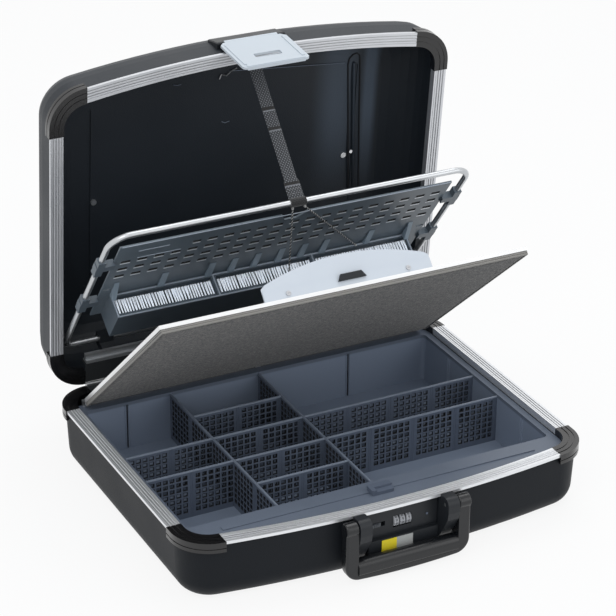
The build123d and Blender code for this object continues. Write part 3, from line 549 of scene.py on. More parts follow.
@dataclass(frozen=True)
class SlottedPlate:
    """Moulded plate with slots painted near black as shade, a painted highlight on the lip below each slot,
    and its standing ribs painted lighter.
    """

    name: str
    colour: Colour
    frame: "TiltedFrame"
    pitch: Sequence[float] = (18.6 * MM, 15 * MM)
    half_slot: Sequence[float] = (5.0 * MM, 2.1 * MM)
    rows: Sequence[float] = (148 * MM, 193 * MM)
    columns: float = 182 * MM
    bare_left: float = -105 * MM
    soft: float = 0.35 * MM
    lip: Colour = (0.86, 0.9, 0.94)

    def material(self) -> bpy.types.Material:
        """Build the material."""
        graph = Graph.of_material(self.name)
        x, y, z = (graph.axis(letter) for letter in "XYZ")
        origin, rise = self.frame.origin, self.frame.rise
        reach = (z - origin.z) * math.sin(rise) - (y - origin.y) * math.cos(rise)
        low, high = self.rows
        pitch_x, pitch_s = self.pitch
        half_x, half_s = self.half_slot
        across = x.from_middle(pitch_x)
        along = (reach - low + pitch_s / 2).from_middle(pitch_s)
        field_mask = (reach - (low + high) / 2).within((high - low) / 2 + 6 * MM, self.soft)
        field_mask = field_mask * x.within(self.columns, self.soft)
        bare = (reach - high).within(6 * MM, self.soft) * (1 - x.step(self.bare_left - MM, self.bare_left))
        field_mask = field_mask * (1 - bare)
        slots_and_shade = across.within(half_x, self.soft) * along.within(half_s, self.soft) * field_mask
        lip_highlights = across.within(half_x, MM) * (along + 3.4 * MM).within(0.8 * MM, 0.5 * MM) * field_mask
        depth = (y - origin.y) * -math.sin(rise) - (z - origin.z) * math.cos(rise)
        ribs = depth.step(1.3 * MM, 1.8 * MM)
        cloud = graph.mottle(60 * MM, 3)
        colour = graph.blend(cloud, times(self.colour, 0.85), times(self.colour, 1.15))
        # Painted light: the ribs that stand out from the plate are painted lighter.
        colour = graph.blend(ribs * 0.6, colour, times(self.colour, 3))
        # Painted highlight on the lip below each slot.
        colour = graph.blend(lip_highlights * 0.9, colour, self.lip)
        # Painted shade: the slots are near black.
        colour = graph.blend(slots_and_shade, colour, times(self.colour, 0.04))
        height = (lip_highlights - slots_and_shade) * 0.5 + 0.5
        return graph.finish(Base_Color=colour, Roughness=0.36 + slots_and_shade * 0.4, Specular_IOR_Level=0.45,
                            Normal=graph.bump(height, 0.5 * MM))


@dataclass(frozen=True)
class Moulded:
    """Moulded plastic: faint spark-eroded texture and uneven gloss."""

    name: str
    colour: Colour
    roughness: float = 0.42
    texture: float = 0.5 * MM
    depth: float = 0.02 * MM
    coat: float = 0.0
    drift: float = 0.12
    specular: float = 0.4
    deep: float = 1.0
    level: float = 60 * MM

    def material(self) -> bpy.types.Material:
        """Build the material."""
        graph = Graph.of_material(self.name)
        speck = graph.mottle(self.texture, 2)
        cloud = graph.mottle(45 * MM, 3)
        low = times(self.colour, 1 - self.drift)
        high = times(self.colour, 1 + self.drift)
        colour = graph.blend(cloud * 0.7 + speck * 0.3, low, high)
        # Painted light: below the given height the colour is lightened by this share, used for the tray's
        # pocket.
        if self.deep != 1:
            below = 1 - graph.axis("Z").step(self.level - 2 * MM, self.level)
            colour = graph.blend(below, colour, times(self.colour, self.deep))
        rough = self.roughness + (cloud - 0.5) * 0.18
        normal = graph.bump(speck, self.depth)
        return graph.finish(Base_Color=colour, Roughness=rough, Normal=normal, Coat_Weight=self.coat,
                            Coat_Roughness=0.25, Specular_IOR_Level=self.specular)


@dataclass(frozen=True)
class Plated:
    """Nickel-plated steel with a slight orange peel and fingermarks."""

    name: str
    colour: Colour
    roughness: float = 0.2

    def material(self) -> bpy.types.Material:
        """Build the material."""
        graph = Graph.of_material(self.name)
        marks = graph.mottle(30 * MM, 2)
        peel = graph.mottle(9 * MM, 1)
        rough = self.roughness + marks.step(0.45, 0.8) * 0.12
        darker = times(self.colour, 0.9)
        colour = graph.blend(marks, self.colour, darker)
        return graph.finish(Base_Color=colour, Metallic=0.9, Roughness=rough,
                            Normal=graph.bump(peel, 0.006 * MM))


@dataclass(frozen=True)
class SpeckledFoam:
    """Charcoal open-cell foam with pale and dark flecks."""

    name: str
    colour: Colour
    cell: float = 1.9 * MM

    def material(self) -> bpy.types.Material:
        """Build the material."""
        graph = Graph.of_material(self.name)
        pores = graph.cells(self.cell)
        fleck = graph.mottle(self.cell * 1.6, 2)
        cloud = graph.mottle(80 * MM, 3)
        dark = times(self.colour, 0.12)
        pale = times(self.colour, 2.5)
        share = fleck.step(0.4, 0.66) * 0.75 + pores * 0.15 + (cloud - 0.5) * 0.15
        colour = graph.blend(share, dark, pale)
        point = graph.mottle(self.cell * 0.8, 1).step(0.64, 0.72)
        colour = graph.blend(point * 0.7, colour, times(self.colour, 6))
        normal = graph.bump(pores * 0.6 + fleck * 0.4, 0.55 * MM)
        return graph.finish(Base_Color=colour, Roughness=0.95, Normal=normal, Sheen_Weight=0.2,
                            Sheen_Roughness=0.6)


@dataclass(frozen=True)
class Webbing:
    """Woven elastic webbing: ribs across the band, cords along its edges, read from its UV map."""

    name: str
    colour: Colour
    light: Colour
    rib: float = 1.9 * MM
    dash: float = 3.1 * MM
    seams: Sequence[float] = ()

    def material(self) -> bpy.types.Material:
        """Build the material."""
        graph = Graph.of_material(self.name)
        uv = graph.add("ShaderNodeUVMap", {"uv_map": "band"}, {}).outputs[0]
        parts = graph.add("ShaderNodeSeparateXYZ", {}, {0: uv})
        across, along = (Signal(graph, parts.outputs[k]) for k in (0, 1))
        weft = (along * (math.tau / self.rib)).wave()
        row = (along * (1 / self.rib)).floor()
        warp = (across * (math.tau / self.dash) + row * math.pi).wave()
        weave = weft * 0.25 + warp * 0.25 + 0.5
        dash = warp.step(0.35, 0.95) * weft.step(-0.5, 0.5)
        fuzz = graph.mottle(0.7 * MM, 3)
        share = weave * 0.25 + fuzz * 0.3
        colour = graph.blend(share, times(self.colour, 0.5), times(self.colour, 1.6))
        colour = graph.blend(dash * 0.7, colour, self.light)
        for seam in self.seams:
            # Painted shade: a near-black band in the fold beside each seam.
            fold_shade = (along - seam - 2 * MM).within(1.6 * MM, MM)
            colour = graph.blend(fold_shade, colour, (0.004, 0.004, 0.004))
            colour = graph.blend((along - seam).within(0.5 * MM, 0.5 * MM) * 0.45, colour, self.light)
        normal = graph.bump(weave * 0.8 + fuzz * 0.2, 0.28 * MM)
        return graph.finish(Base_Color=colour, Roughness=0.85, Normal=normal, Sheen_Weight=0.3,
                            Sheen_Roughness=0.5)


@dataclass(frozen=True)
class TwoToneLabel:
    """Blank printed label: one coloured end and one pale end."""

    name: str
    left: Colour
    right: Colour
    seam_x: float

    def material(self) -> bpy.types.Material:
        """Build the material."""
        graph = Graph.of_material(self.name)
        side = graph.axis("X").step(self.seam_x - 0.1 * MM, self.seam_x + 0.1 * MM)
        worn = graph.mottle(4 * MM, 3)
        colour = graph.blend(side, self.left, self.right)
        colour = graph.blend(worn.step(0.55, 0.9) * 0.25, colour, (0.3, 0.3, 0.3))
        return graph.finish(Base_Color=colour, Roughness=0.45 + worn * 0.2,
                            Normal=graph.bump(worn, 0.03 * MM))


@dataclass(frozen=True)
class Thread:
    """Twisted synthetic thread or bristle filament."""

    name: str
    colour: Colour
    spread: float = 0.25
    glow: float = 0.0

    def material(self) -> bpy.types.Material:
        """Build the material."""
        graph = Graph.of_material(self.name)
        tone = graph.mottle(1.2 * MM, 2)
        low = times(self.colour, 1 - self.spread)
        colour = graph.blend(tone, low, self.colour)
        # Emission makes the thread glow though it is no lamp: painted light, used on the bristles.
        return graph.finish(Base_Color=colour, Roughness=0.5 + tone * 0.3, Emission_Color=colour,
                            Emission_Strength=self.glow, Normal=graph.bump(tone, 0.05 * MM))


class Finishes:
    """All finishes of the case, built once."""

    def __init__(self, hinge: Vector, opened: float, pallet: "TiltedFrame") -> None:
        """Build every material.

        Args:
            hinge: A point on the lid's axis.
            opened: How far the lid stands open, in radians.
            pallet: The pallet's plane.
        """
        alloy = linear(214, 216, 220)
        # Painted light: the base rim is a paler copy of the lid rim's aluminium.
        self.base_rim = RidgedRim("ridged base rim", linear(238, 240, 243), tuple(hinge)).material()
        self.lid_rim = RidgedRim("ridged lid rim", alloy, tuple(hinge), opened).material()
        self.plate = SlottedPlate("slotted slate plate", linear(92, 103, 112), pallet).material()
        slate = linear(86, 95, 110)
        self.sheets = {}
        for node, letter in (("divider_long_left", "Y"), ("divider_long_middle", "Y"),
                             ("dividers_left_pair", "X"), ("dividers_short_pair", "X"),
                             ("dividers_right_pair", "X")):
            ends = [corner["XYZ".index(letter)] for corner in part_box(node)]
            sheet = PerforatedSheet(f"perforated {node}", slate, letter, ends[0], ends[1] - ends[0])
            self.sheets[node] = sheet.material()
        # Base and lid shells are one plastic in two copies: the base copy darker and less glossy as painted
        # shade, the lid copy paler as painted light.
        self.base_shell = GrainedShell("grained black base", linear(20, 23, 27), specular=0.14).material()
        # Painted reflection bands for the lid's inner face.
        bands = ((139 * MM, 3 * MM, 34 * MM, 0.5), (177 * MM, 3 * MM, 9 * MM, 0.7))
        lid_shell = GrainedShell("grained black lid", linear(27, 32, 38), specular=0.4,
                                 hinge=tuple(hinge), opened=opened, bands=bands)
        self.lid_shell = lid_shell.material()
        self.rail = DrawnAluminium("drawn aluminium rail", linear(200, 203, 206)).material()
        self.corner = Moulded("glossy black corner", linear(12, 12, 14), 0.22, coat=0.5).material()
        self.band = GrainedShell("textured hinge profile", linear(34, 36, 38), 1.4 * MM).material()
        self.steel = Plated("hinge steel", linear(176, 178, 180), 0.3).material()
        # Painted light: the tray's pocket below the flange is 1.7 times lighter.
        tray = Moulded("slate tray", linear(98, 107, 121), 0.42, 0.8 * MM, 0.03 * MM, deep=1.7)
        self.tray = tray.material()
        self.divider = Moulded("slate divider", slate, 0.42, 0.8 * MM).material()
        # Painted highlight: the dividers' rolled top edges are a paler copy of their slate.
        self.edging = Moulded("slate rolled edge", linear(118, 127, 141), 0.34, 0.8 * MM).material()
        self.lock = Moulded("black lock body", linear(32, 35, 39), 0.4, specular=0.3).material()
        self.grip = Moulded("black handle", linear(20, 22, 25), 0.27, specular=0.5).material()
        self.slider = Moulded("dark grey slider", linear(66, 70, 75), 0.4).material()
        # Painted highlight: a pale copy of the pallet's slate for the shelf's rolled edges, the label frame
        # and the plate's top line.
        self.shelf_edge = Moulded("pale shelf edge", linear(158, 168, 180), 0.34, 0.8 * MM).material()
        self.bead = Moulded("grey foam edging", linear(128, 126, 122), 0.5).material()
        self.rivet = Plated("bright rivet", linear(236, 238, 240), 0.26).material()
        self.enamel = Moulded("pale grey lock plate", linear(190, 198, 205), 0.4, drift=0.04).material()
        self.dial = Moulded("white number wheel", linear(150, 152, 156), 0.35, drift=0.05).material()
        self.ink = Moulded("dark digits", linear(25, 25, 28), 0.5).material()
        self.foam = SpeckledFoam("speckled foam", linear(57, 55, 52)).material()
        self.board = Moulded("black panel board", linear(34, 34, 35), 0.6, 1.2 * MM, 0.06 * MM).material()
        self.edge = DrawnAluminium("panel edge", linear(247, 248, 249), (3, 900, 900)).material()
        self.bracket = Moulded("pale grey bracket", linear(197, 204, 212), 0.42, drift=0.04).material()
        self.screw = Plated("screw steel", linear(196, 198, 202), 0.42).material()
        self.wire = Plated("nickel wire", linear(200, 203, 206), 0.3).material()
        self.pallet = Moulded("slate pallet", linear(84, 94, 103), 0.36, 0.7 * MM).material()
        # Painted light: the bristles glow a little.
        self.bristle = Thread("white bristles", linear(242, 248, 255), 0.1, 0.24).material()
        self.pale_yarn = Thread("pale yarn", linear(190, 190, 188)).material()
        self.dark_yarn = Thread("dark yarn", linear(34, 34, 36)).material()
        self.stitch = Thread("grey stitching", linear(124, 126, 128)).material()
        self.webbing = Webbing("dark elastic webbing", linear(50, 52, 56), linear(150, 154, 160),
                               seams=Strap.seam_places).material()
        self.sleeve = Webbing("black sewn sleeve", linear(24, 25, 27), linear(34, 35, 38)).material()
        low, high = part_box("label_plate")
        seam = low[0] + 0.48 * (high[0] - low[0])
        yellow, grey = linear(226, 206, 40), linear(168, 170, 168)
        self.label = TwoToneLabel("blank label", yellow, grey, seam).material()

    def by_node(self) -> dict[str, bpy.types.Material]:
        """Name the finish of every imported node.

        Returns:
            Material by node name.
        """
        groups = {
            self.base_shell: ("base_shell",),
            self.lid_shell: ("lid_shell",),
            self.base_rim: ("base_rim_front", "base_rim_left", "base_rim_right"),
            self.lid_rim: ("lid_rim_front", "lid_rim_left", "lid_rim_right"),
            self.rail: ("base_hinge_rail", "lid_hinge_rail"),
            self.corner: ("base_corners_front", "base_corners_back", "lid_corners_front",
                          "lid_corners_back"),
            self.band: ("base_hinge_profile", "lid_hinge_profile"),
            self.steel: ("base_hinge_leaf", "lid_hinge_leaf", "case_hinge_pin", "panel_hinge_pin",
                         "dial_axle", "handle_pins", "flap_hinge_pin"),
            self.tray: ("tray_insert",),
            self.divider: ("tray_catch_block",),
            self.lock: ("lock_console", "handle_bosses", "flap_housing", "strap_anchor",
                        "panel_catch", "pallet_brackets"),
            self.slider: ("lock_slider",),
            self.grip: ("handle_frame", "handle_grip"),
            self.enamel: ("lock_flap",),
            self.dial: ("code_dial_1", "code_dial_2", "code_dial_3"),
            self.label: ("label_plate",),
            self.foam: ("panel_foam",),
            self.board: ("panel_board", "panel_hinge_profile"),
            self.edge: ("panel_edge",),
            self.bracket: ("panel_bracket",),
            self.screw: ("bracket_screws",),
            self.rivet: ("lid_rivets",),
            self.wire: ("pallet_wire",),
            self.plate: ("tool_plate",),
            self.pallet: ("brush_shelf", "wire_clips"),
            self.bristle: ("brush_left", "brush_middle", "brush_right"),
            self.dark_yarn: ("tie_cords",),
            self.webbing: ("strap",),
        }
        return {node: material for material, nodes in groups.items() for node in nodes} | self.sheets


def dress_nodes(nodes: dict[str, bpy.types.Object], finishes: Finishes) -> None:
    """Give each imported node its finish.

    Args:
        nodes: Objects by node name.
        finishes: The finishes.
    """
    chosen = finishes.by_node()
    for name, obj in nodes.items():
        obj.data.materials.clear()
        obj.data.materials.append(chosen[name])
        LOG.info("finish of %s: %s", name, chosen[name].name)


# Studio
@dataclass
class Studio:
    """Camera, lamps, floor and surroundings."""

    eye: Sequence[float] = (-1.0111, -1.9397, 1.2839)
    aim: Sequence[float] = (-0.0334, -0.0345, 0.2264)
    roll: float = math.radians(0.45)
    lens: float = 140.18
    key_power: float = 11.5
    top_power: float = 12.0
    fill_power: float = 7.0
    sky: float = 0.78
    floor_glow: float = 0.88
    floor_size: float = 12.0

    def camera(self) -> None:
        """Place the camera where the photograph was taken from."""
        data = bpy.data.cameras.new("camera")
        data.lens, data.sensor_width = self.lens, 36.0
        data.clip_start, data.clip_end = 0.1, 50
        camera = bpy.data.objects.new("camera", data)
        bpy.context.scene.collection.objects.link(camera)
        way = Vector(self.aim) - Vector(self.eye)
        turn = way.to_track_quat("-Z", "Y").to_matrix().to_4x4() @ Matrix.Rotation(self.roll, 4, "Z")
        camera.matrix_world = Matrix.Translation(self.eye) @ turn
        bpy.context.scene.camera = camera

    def lamp(self, name: str, place: Sequence[float], size: float, power: float) -> None:
        """Hang one soft square lamp that faces the case.

        Args:
            name: Its name.
            place: Where it hangs.
            size: Side of the square.
            power: Power in watts.
        """
        data = bpy.data.lights.new(name, "AREA")
        data.shape, data.size, data.energy = "SQUARE", size, power
        lamp = bpy.data.objects.new(name, data)
        bpy.context.scene.collection.objects.link(lamp)
        way = Vector((0, 0, 0.15)) - Vector(place)
        lamp.matrix_world = Matrix.Translation(place) @ way.to_track_quat("-Z", "Y").to_matrix().to_4x4()

    def seen_white(self, graph: Graph) -> Signal:
        """1 for rays that see the background straight, in gloss or through glass."""
        path = graph.add("ShaderNodeLightPath", {}, {})
        kinds = ("Camera", "Glossy", "Transmission")
        seen, shiny, through = (Signal(graph, path.outputs[f"Is {kind} Ray"]) for kind in kinds)
        return (seen + shiny + through).step(0, 1)

    def floor(self) -> None:
        """Lay a pale floor that keeps a soft shadow."""
        bm = bmesh.new()
        bmesh.ops.create_grid(bm, x_segments=1, y_segments=1, size=self.floor_size / 2)
        graph = Graph.of_material("pale floor")
        matt = graph.add("ShaderNodeBsdfDiffuse", {}, {"Color": (0.8, 0.8, 0.8, 1)})
        glow = graph.add("ShaderNodeEmission", {}, {"Color": (1, 1, 1, 1), "Strength": 1.0})
        share = self.seen_white(graph) * self.floor_glow
        mix = graph.add("ShaderNodeMixShader", {}, {0: share, 1: matt.outputs[0], 2: glow.outputs[0]})
        graph.add("ShaderNodeOutputMaterial", {}, {"Surface": mix.outputs[0]})
        floor = mesh_object("floor", bm, graph.owner)

    def world(self) -> None:
        """Surround the case with even light, white where the camera sees it."""
        world = bpy.data.worlds.new("studio")
        bpy.context.scene.world = world
        graph = Graph(world)
        glow = graph.add("ShaderNodeBackground", {}, {"Color": (0.93, 0.96, 1.0, 1), "Strength": self.sky})
        seen = graph.add("ShaderNodeBackground", {}, {"Color": (1, 1, 1, 1), "Strength": 1.0})
        share = self.seen_white(graph)
        mix = graph.add("ShaderNodeMixShader", {}, {0: share, 1: glow.outputs[0], 2: seen.outputs[0]})
        graph.add("ShaderNodeOutputWorld", {}, {"Surface": mix.outputs[0]})

    def build(self) -> None:
        """Set up the whole studio."""
        scene = bpy.context.scene
        scene.view_settings.view_transform = "Standard"
        self.camera()
        self.floor()
        self.world()
        self.lamp("key lamp", (-1.2, -1.2, 1.8), 1.3, self.key_power)
        self.lamp("top lamp", (0.5, 0.5, 2.0), 1.4, self.top_power)
        self.lamp("fill lamp", (1.4, -1.6, 0.9), 1.5, self.fill_power)


# Mesh tools
def mesh_object(name: str, bm: bmesh.types.BMesh, *materials: bpy.types.Material) -> bpy.types.Object:
    """Turn a working mesh into an object at the origin.

    Args:
        name: Its name.
        bm: The working mesh, which is freed.
        materials: Its materials.

    Returns:
        The object.
    """
    mesh = bpy.data.meshes.new(name)
    bm.to_mesh(mesh)
    bm.free()
    obj = bpy.data.objects.new(name, mesh)
    for material in materials:
        mesh.materials.append(material)
    bpy.context.scene.collection.objects.link(obj)
    return obj


def shade_smooth(obj: bpy.types.Object, angle: float = math.radians(40)) -> None:
    """Smooth a piece's faces, with sharp edges above an angle.

    Args:
        obj: The piece.
        angle: Angle in radians.
    """
    obj.data.polygons.foreach_set("use_smooth", [True] * len(obj.data.polygons))
    bm = bmesh.new()
    bm.from_mesh(obj.data)
    for edge in bm.edges:
        if len(edge.link_faces) == 2:
            edge.smooth = edge.calc_face_angle(0.0) < angle
    bm.to_mesh(obj.data)
    bm.free()


def flatten_modifiers(obj: bpy.types.Object) -> None:
    """Apply every modifier of a piece.

    Args:
        obj: The piece.
    """
    depsgraph = bpy.context.evaluated_depsgraph_get()
    mesh = bpy.data.meshes.new_from_object(obj.evaluated_get(depsgraph))
    old = obj.data
    obj.modifiers.clear()
    obj.data = mesh
    bpy.data.meshes.remove(old)


@dataclass(frozen=True)
class TiltedFrame:
    """Coordinates of a hinged plane: x, reach from the hinge, and depth out below it."""

    origin: Vector
    rise: float

    def point(self, x: float, reach: float, out: float) -> Vector:
        """Place a point of the plane in the row frame.

        Args:
            x: To the right.
            reach: Distance from the hinge.
            out: Depth below the plane.

        Returns:
            The point.
        """
        along = Vector((0, -math.cos(self.rise), math.sin(self.rise)))
        below = Vector((0, -math.sin(self.rise), -math.cos(self.rise)))
        return self.origin + Vector((x, 0, 0)) + along * reach + below * out

    def matrix(self) -> Matrix:
        """Matrix that takes x, reach and out to the row frame."""
        along = self.point(0, 1, 0) - self.origin
        below = self.point(0, 0, 1) - self.origin
        turn = Matrix((Vector((1, 0, 0)), along, below)).transposed().to_4x4()
        return Matrix.Translation(self.origin) @ turn


def joint_place(joints: Iterable[dict[str, Any]], name: str) -> Vector:
    """Find a joint's axis.

    Args:
        joints: The frame's joints.
        name: The joint's name.

    Returns:
        A point on its axis.
    """
    return Vector(next(joint["pos_m"] for joint in joints if joint["name"] == name))


def joint_travel(joints: Iterable[dict[str, Any]], name: str) -> float:
    """Find how far a joint stands open at rest.

    Args:
        joints: The frame's joints.
        name: The joint's name.

    Returns:
        Its upper limit in radians.
    """
    return math.radians(next(joint["range_deg"][1] for joint in joints if joint["name"] == name))


# Geometry node trees
class NodeTree:
    """A geometry node tree with named inputs."""

    def __init__(self, name: str) -> None:
        """Start a tree with a geometry input and output."""
        self.tree = bpy.data.node_groups.new(name, "GeometryNodeTree")
        self.tree.interface.new_socket("Geometry", in_out="INPUT", socket_type="NodeSocketGeometry")
        self.tree.interface.new_socket("Geometry", in_out="OUTPUT", socket_type="NodeSocketGeometry")
        self.inside = self.tree.nodes.new("NodeGroupInput")
        self.outside = self.tree.nodes.new("NodeGroupOutput")
        self.identifiers: dict[str, str] = {}

    def setting(self, name: str, kind: str, value: Any) -> bpy.types.NodeSocket:
        """Add a named input.

        Args:
            name: Its name.
            kind: Its socket type.
            value: Its usual value.

        Returns:
            The socket inside the tree.
        """
        item = self.tree.interface.new_socket(name, in_out="INPUT", socket_type=kind)
        if value is not None:
            item.default_value = value
        self.identifiers[name] = item.identifier
        return self.inside.outputs[name]

    def add(self, kind: str, settings: dict[str, Any], inputs: dict[Any, Any]) -> bpy.types.Node:
        """Add a node.

        Args:
            kind: Its type.
            settings: Attributes, set first.
            inputs: Values or links by socket name or number.

        Returns:
            The node.
        """
        node = self.tree.nodes.new(kind)
        for name, value in settings.items():
            setattr(node, name, value)
        for key, value in inputs.items():
            if isinstance(value, bpy.types.NodeSocket):
                self.tree.links.new(value, node.inputs[key])
            else:
                node.inputs[key].default_value = value
        return node

    def close(self, geometry: bpy.types.NodeSocket, material: bpy.types.NodeSocket) -> None:
        """End the tree in real geometry with its material.

        Args:
            geometry: The instances or mesh.
            material: The material's socket.
        """
        real = self.add("GeometryNodeRealizeInstances", {}, {0: geometry})
        dressed = self.add("GeometryNodeSetMaterial", {}, {0: real.outputs[0], "Material": material})
        self.tree.links.new(dressed.outputs[0], self.outside.inputs[0])

    def apply(self, obj: bpy.types.Object, values: dict[str, Any]) -> None:
        """Run the tree on an object and keep the result as its mesh.

        Args:
            obj: The object.
            values: Input values by name.
        """
        modifier = obj.modifiers.new(self.tree.name, "NODES")
        modifier.node_group = self.tree
        for name, value in values.items():
            modifier[self.identifiers[name]] = value
        flatten_modifiers(obj)


class BristleTree(NodeTree):
    """Scatters slim tapered strands on the points of a mesh, turned by a given tilt and a random lean."""

    def __init__(self) -> None:
        """Build the tree."""
        super().__init__("bristles")
        length = self.setting("Length", "NodeSocketFloat", 0.018)
        radius = self.setting("Radius", "NodeSocketFloat", 0.0002)
        spread = self.setting("Spread", "NodeSocketFloat", 0.1)
        turn = self.setting("Turn", "NodeSocketVector", None)
        seed = self.setting("Seed", "NodeSocketInt", 1)
        material = self.setting("Material", "NodeSocketMaterial", None)
        strand = self.add("GeometryNodeMeshCone", {},
                          {"Vertices": 4, "Radius Top": 0.0, "Radius Bottom": radius, "Depth": length})
        tip = self.add("ShaderNodeMath", {"operation": "MULTIPLY"}, {0: radius, 1: 0.6})
        self.tree.links.new(tip.outputs[0], strand.inputs["Radius Top"])
        points = self.add("GeometryNodeMeshToPoints", {}, {0: self.inside.outputs["Geometry"]})
        minus = self.add("ShaderNodeMath", {"operation": "MULTIPLY"}, {0: spread, 1: -1.0})
        low = self.add("ShaderNodeCombineXYZ", {}, {k: minus.outputs[0] for k in (0, 1, 2)})
        high = self.add("ShaderNodeCombineXYZ", {}, {k: spread for k in (0, 1, 2)})
        lean = self.add("FunctionNodeRandomValue", {"data_type": "FLOAT_VECTOR"},
                        {0: low.outputs[0], 1: high.outputs[0], "Seed": seed})
        tilt = self.add("ShaderNodeVectorMath", {"operation": "ADD"}, {0: turn, 1: lean.outputs[0]})
        spots = self.add("GeometryNodeInstanceOnPoints", {},
                         {"Points": points.outputs[0], "Instance": strand.outputs[0],
                          "Rotation": tilt.outputs[0]})
        self.close(spots.outputs[0], material)


class StitchTree(NodeTree):
    """Lays short thread stitches along the edges of a mesh line."""

    def __init__(self) -> None:
        """Build the tree."""
        super().__init__("stitches")
        pitch = self.setting("Pitch", "NodeSocketFloat", 0.002)
        share = self.setting("Share", "NodeSocketFloat", 0.65)
        radius = self.setting("Radius", "NodeSocketFloat", 0.00025)
        material = self.setting("Material", "NodeSocketMaterial", None)
        line = self.add("GeometryNodeMeshToCurve", {}, {0: self.inside.outputs["Geometry"]})
        spots = self.add("GeometryNodeCurveToPoints", {"mode": "LENGTH"},
                         {0: line.outputs[0], "Length": pitch})
        size = self.add("ShaderNodeMath", {"operation": "MULTIPLY"}, {0: pitch, 1: share})
        stitch = self.add("GeometryNodeMeshCylinder", {},
                          {"Vertices": 6, "Radius": radius, "Depth": size.outputs[0]})
        turned = self.add("GeometryNodeInstanceOnPoints", {},
                          {"Points": spots.outputs[0], "Instance": stitch.outputs[0],
                           "Rotation": spots.outputs["Rotation"]})
        self.close(turned.outputs[0], material)


class BeadTree(NodeTree):
    """Sets slim round beads on the points of a mesh."""

    def __init__(self) -> None:
        """Build the tree."""
        super().__init__("beads")
        height = self.setting("Height", "NodeSocketFloat", 0.05)
        radius = self.setting("Radius", "NodeSocketFloat", 0.0005)
        turn = self.setting("Turn", "NodeSocketVector", None)
        material = self.setting("Material", "NodeSocketMaterial", None)
        bead = self.add("GeometryNodeMeshCylinder", {}, {"Vertices": 8, "Radius": radius, "Depth": height})
        points = self.add("GeometryNodeMeshToPoints", {}, {0: self.inside.outputs["Geometry"]})
        spots = self.add("GeometryNodeInstanceOnPoints", {},
                         {"Points": points.outputs[0], "Instance": bead.outputs[0], "Rotation": turn})
        self.close(spots.outputs[0], material)


class ScrewTree(NodeTree):
    """Sets pan-headed screws, a flange with a domed head, on the points of a mesh."""

    def __init__(self) -> None:
        """Build the tree."""
        super().__init__("screws")
        radius = self.setting("Radius", "NodeSocketFloat", 0.002)
        turn = self.setting("Turn", "NodeSocketVector", None)
        material = self.setting("Material", "NodeSocketMaterial", None)
        shares = {}
        for name, share in (("flange", 0.3), ("head", 0.8), ("crown", 0.5), ("rise", 0.35)):
            part = self.add("ShaderNodeMath", {"operation": "MULTIPLY"}, {0: radius, 1: share})
            shares[name] = part.outputs[0]
        flange = self.add("GeometryNodeMeshCylinder", {},
                          {"Vertices": 16, "Radius": radius, "Depth": shares["flange"]})
        dome = self.add("GeometryNodeMeshCone", {},
                        {"Vertices": 16, "Radius Top": shares["crown"], "Radius Bottom": shares["head"],
                         "Depth": shares["rise"]})
        screw = self.add("GeometryNodeJoinGeometry", {}, {0: flange.outputs[0]})
        self.tree.links.new(dome.outputs[0], screw.inputs[0])
        points = self.add("GeometryNodeMeshToPoints", {}, {0: self.inside.outputs["Geometry"]})
        spots = self.add("GeometryNodeInstanceOnPoints", {},
                         {"Points": points.outputs[0], "Instance": screw.outputs[0], "Rotation": turn})
        self.close(spots.outputs[0], material)


def rod(bm: bmesh.types.BMesh, points: Sequence[Vector], radius: float, sides: int = 8) -> None:
    """Add a closed round rod along a line of points.

    Args:
        bm: The working mesh.
        points: The line.
        radius: Its radius.
        sides: Number of its sides.
    """
    rings = []
    side = Vector((0, 0, 1))
    for index, point in enumerate(points):
        way = (points[min(index + 1, len(points) - 1)] - points[max(index - 1, 0)]).normalized()
        side = side - way * side.dot(way)
        if side.length < 0.1:
            side = way.orthogonal()
        side.normalize()
        over = way.cross(side)
        turns = [math.tau * k / sides for k in range(sides)]
        ring = [point + (side * math.cos(turn) + over * math.sin(turn)) * radius for turn in turns]
        rings.append([bm.verts.new(corner) for corner in ring])
    for first, second in zip(rings, rings[1:]):
        for k in range(sides):
            bm.faces.new([first[k], first[(k + 1) % sides], second[(k + 1) % sides], second[k]])
    bm.faces.new(list(reversed(rings[0])))
    bm.faces.new(rings[-1])


def point_cloud(name: str, points: Iterable[Vector]) -> bpy.types.Object:
    """Make an object that holds loose points for a node tree.

    Args:
        name: Its name.
        points: The points.

    Returns:
        The object.
    """
    bm = bmesh.new()
    for point in points:
        bm.verts.new(point)
    return mesh_object(name, bm)


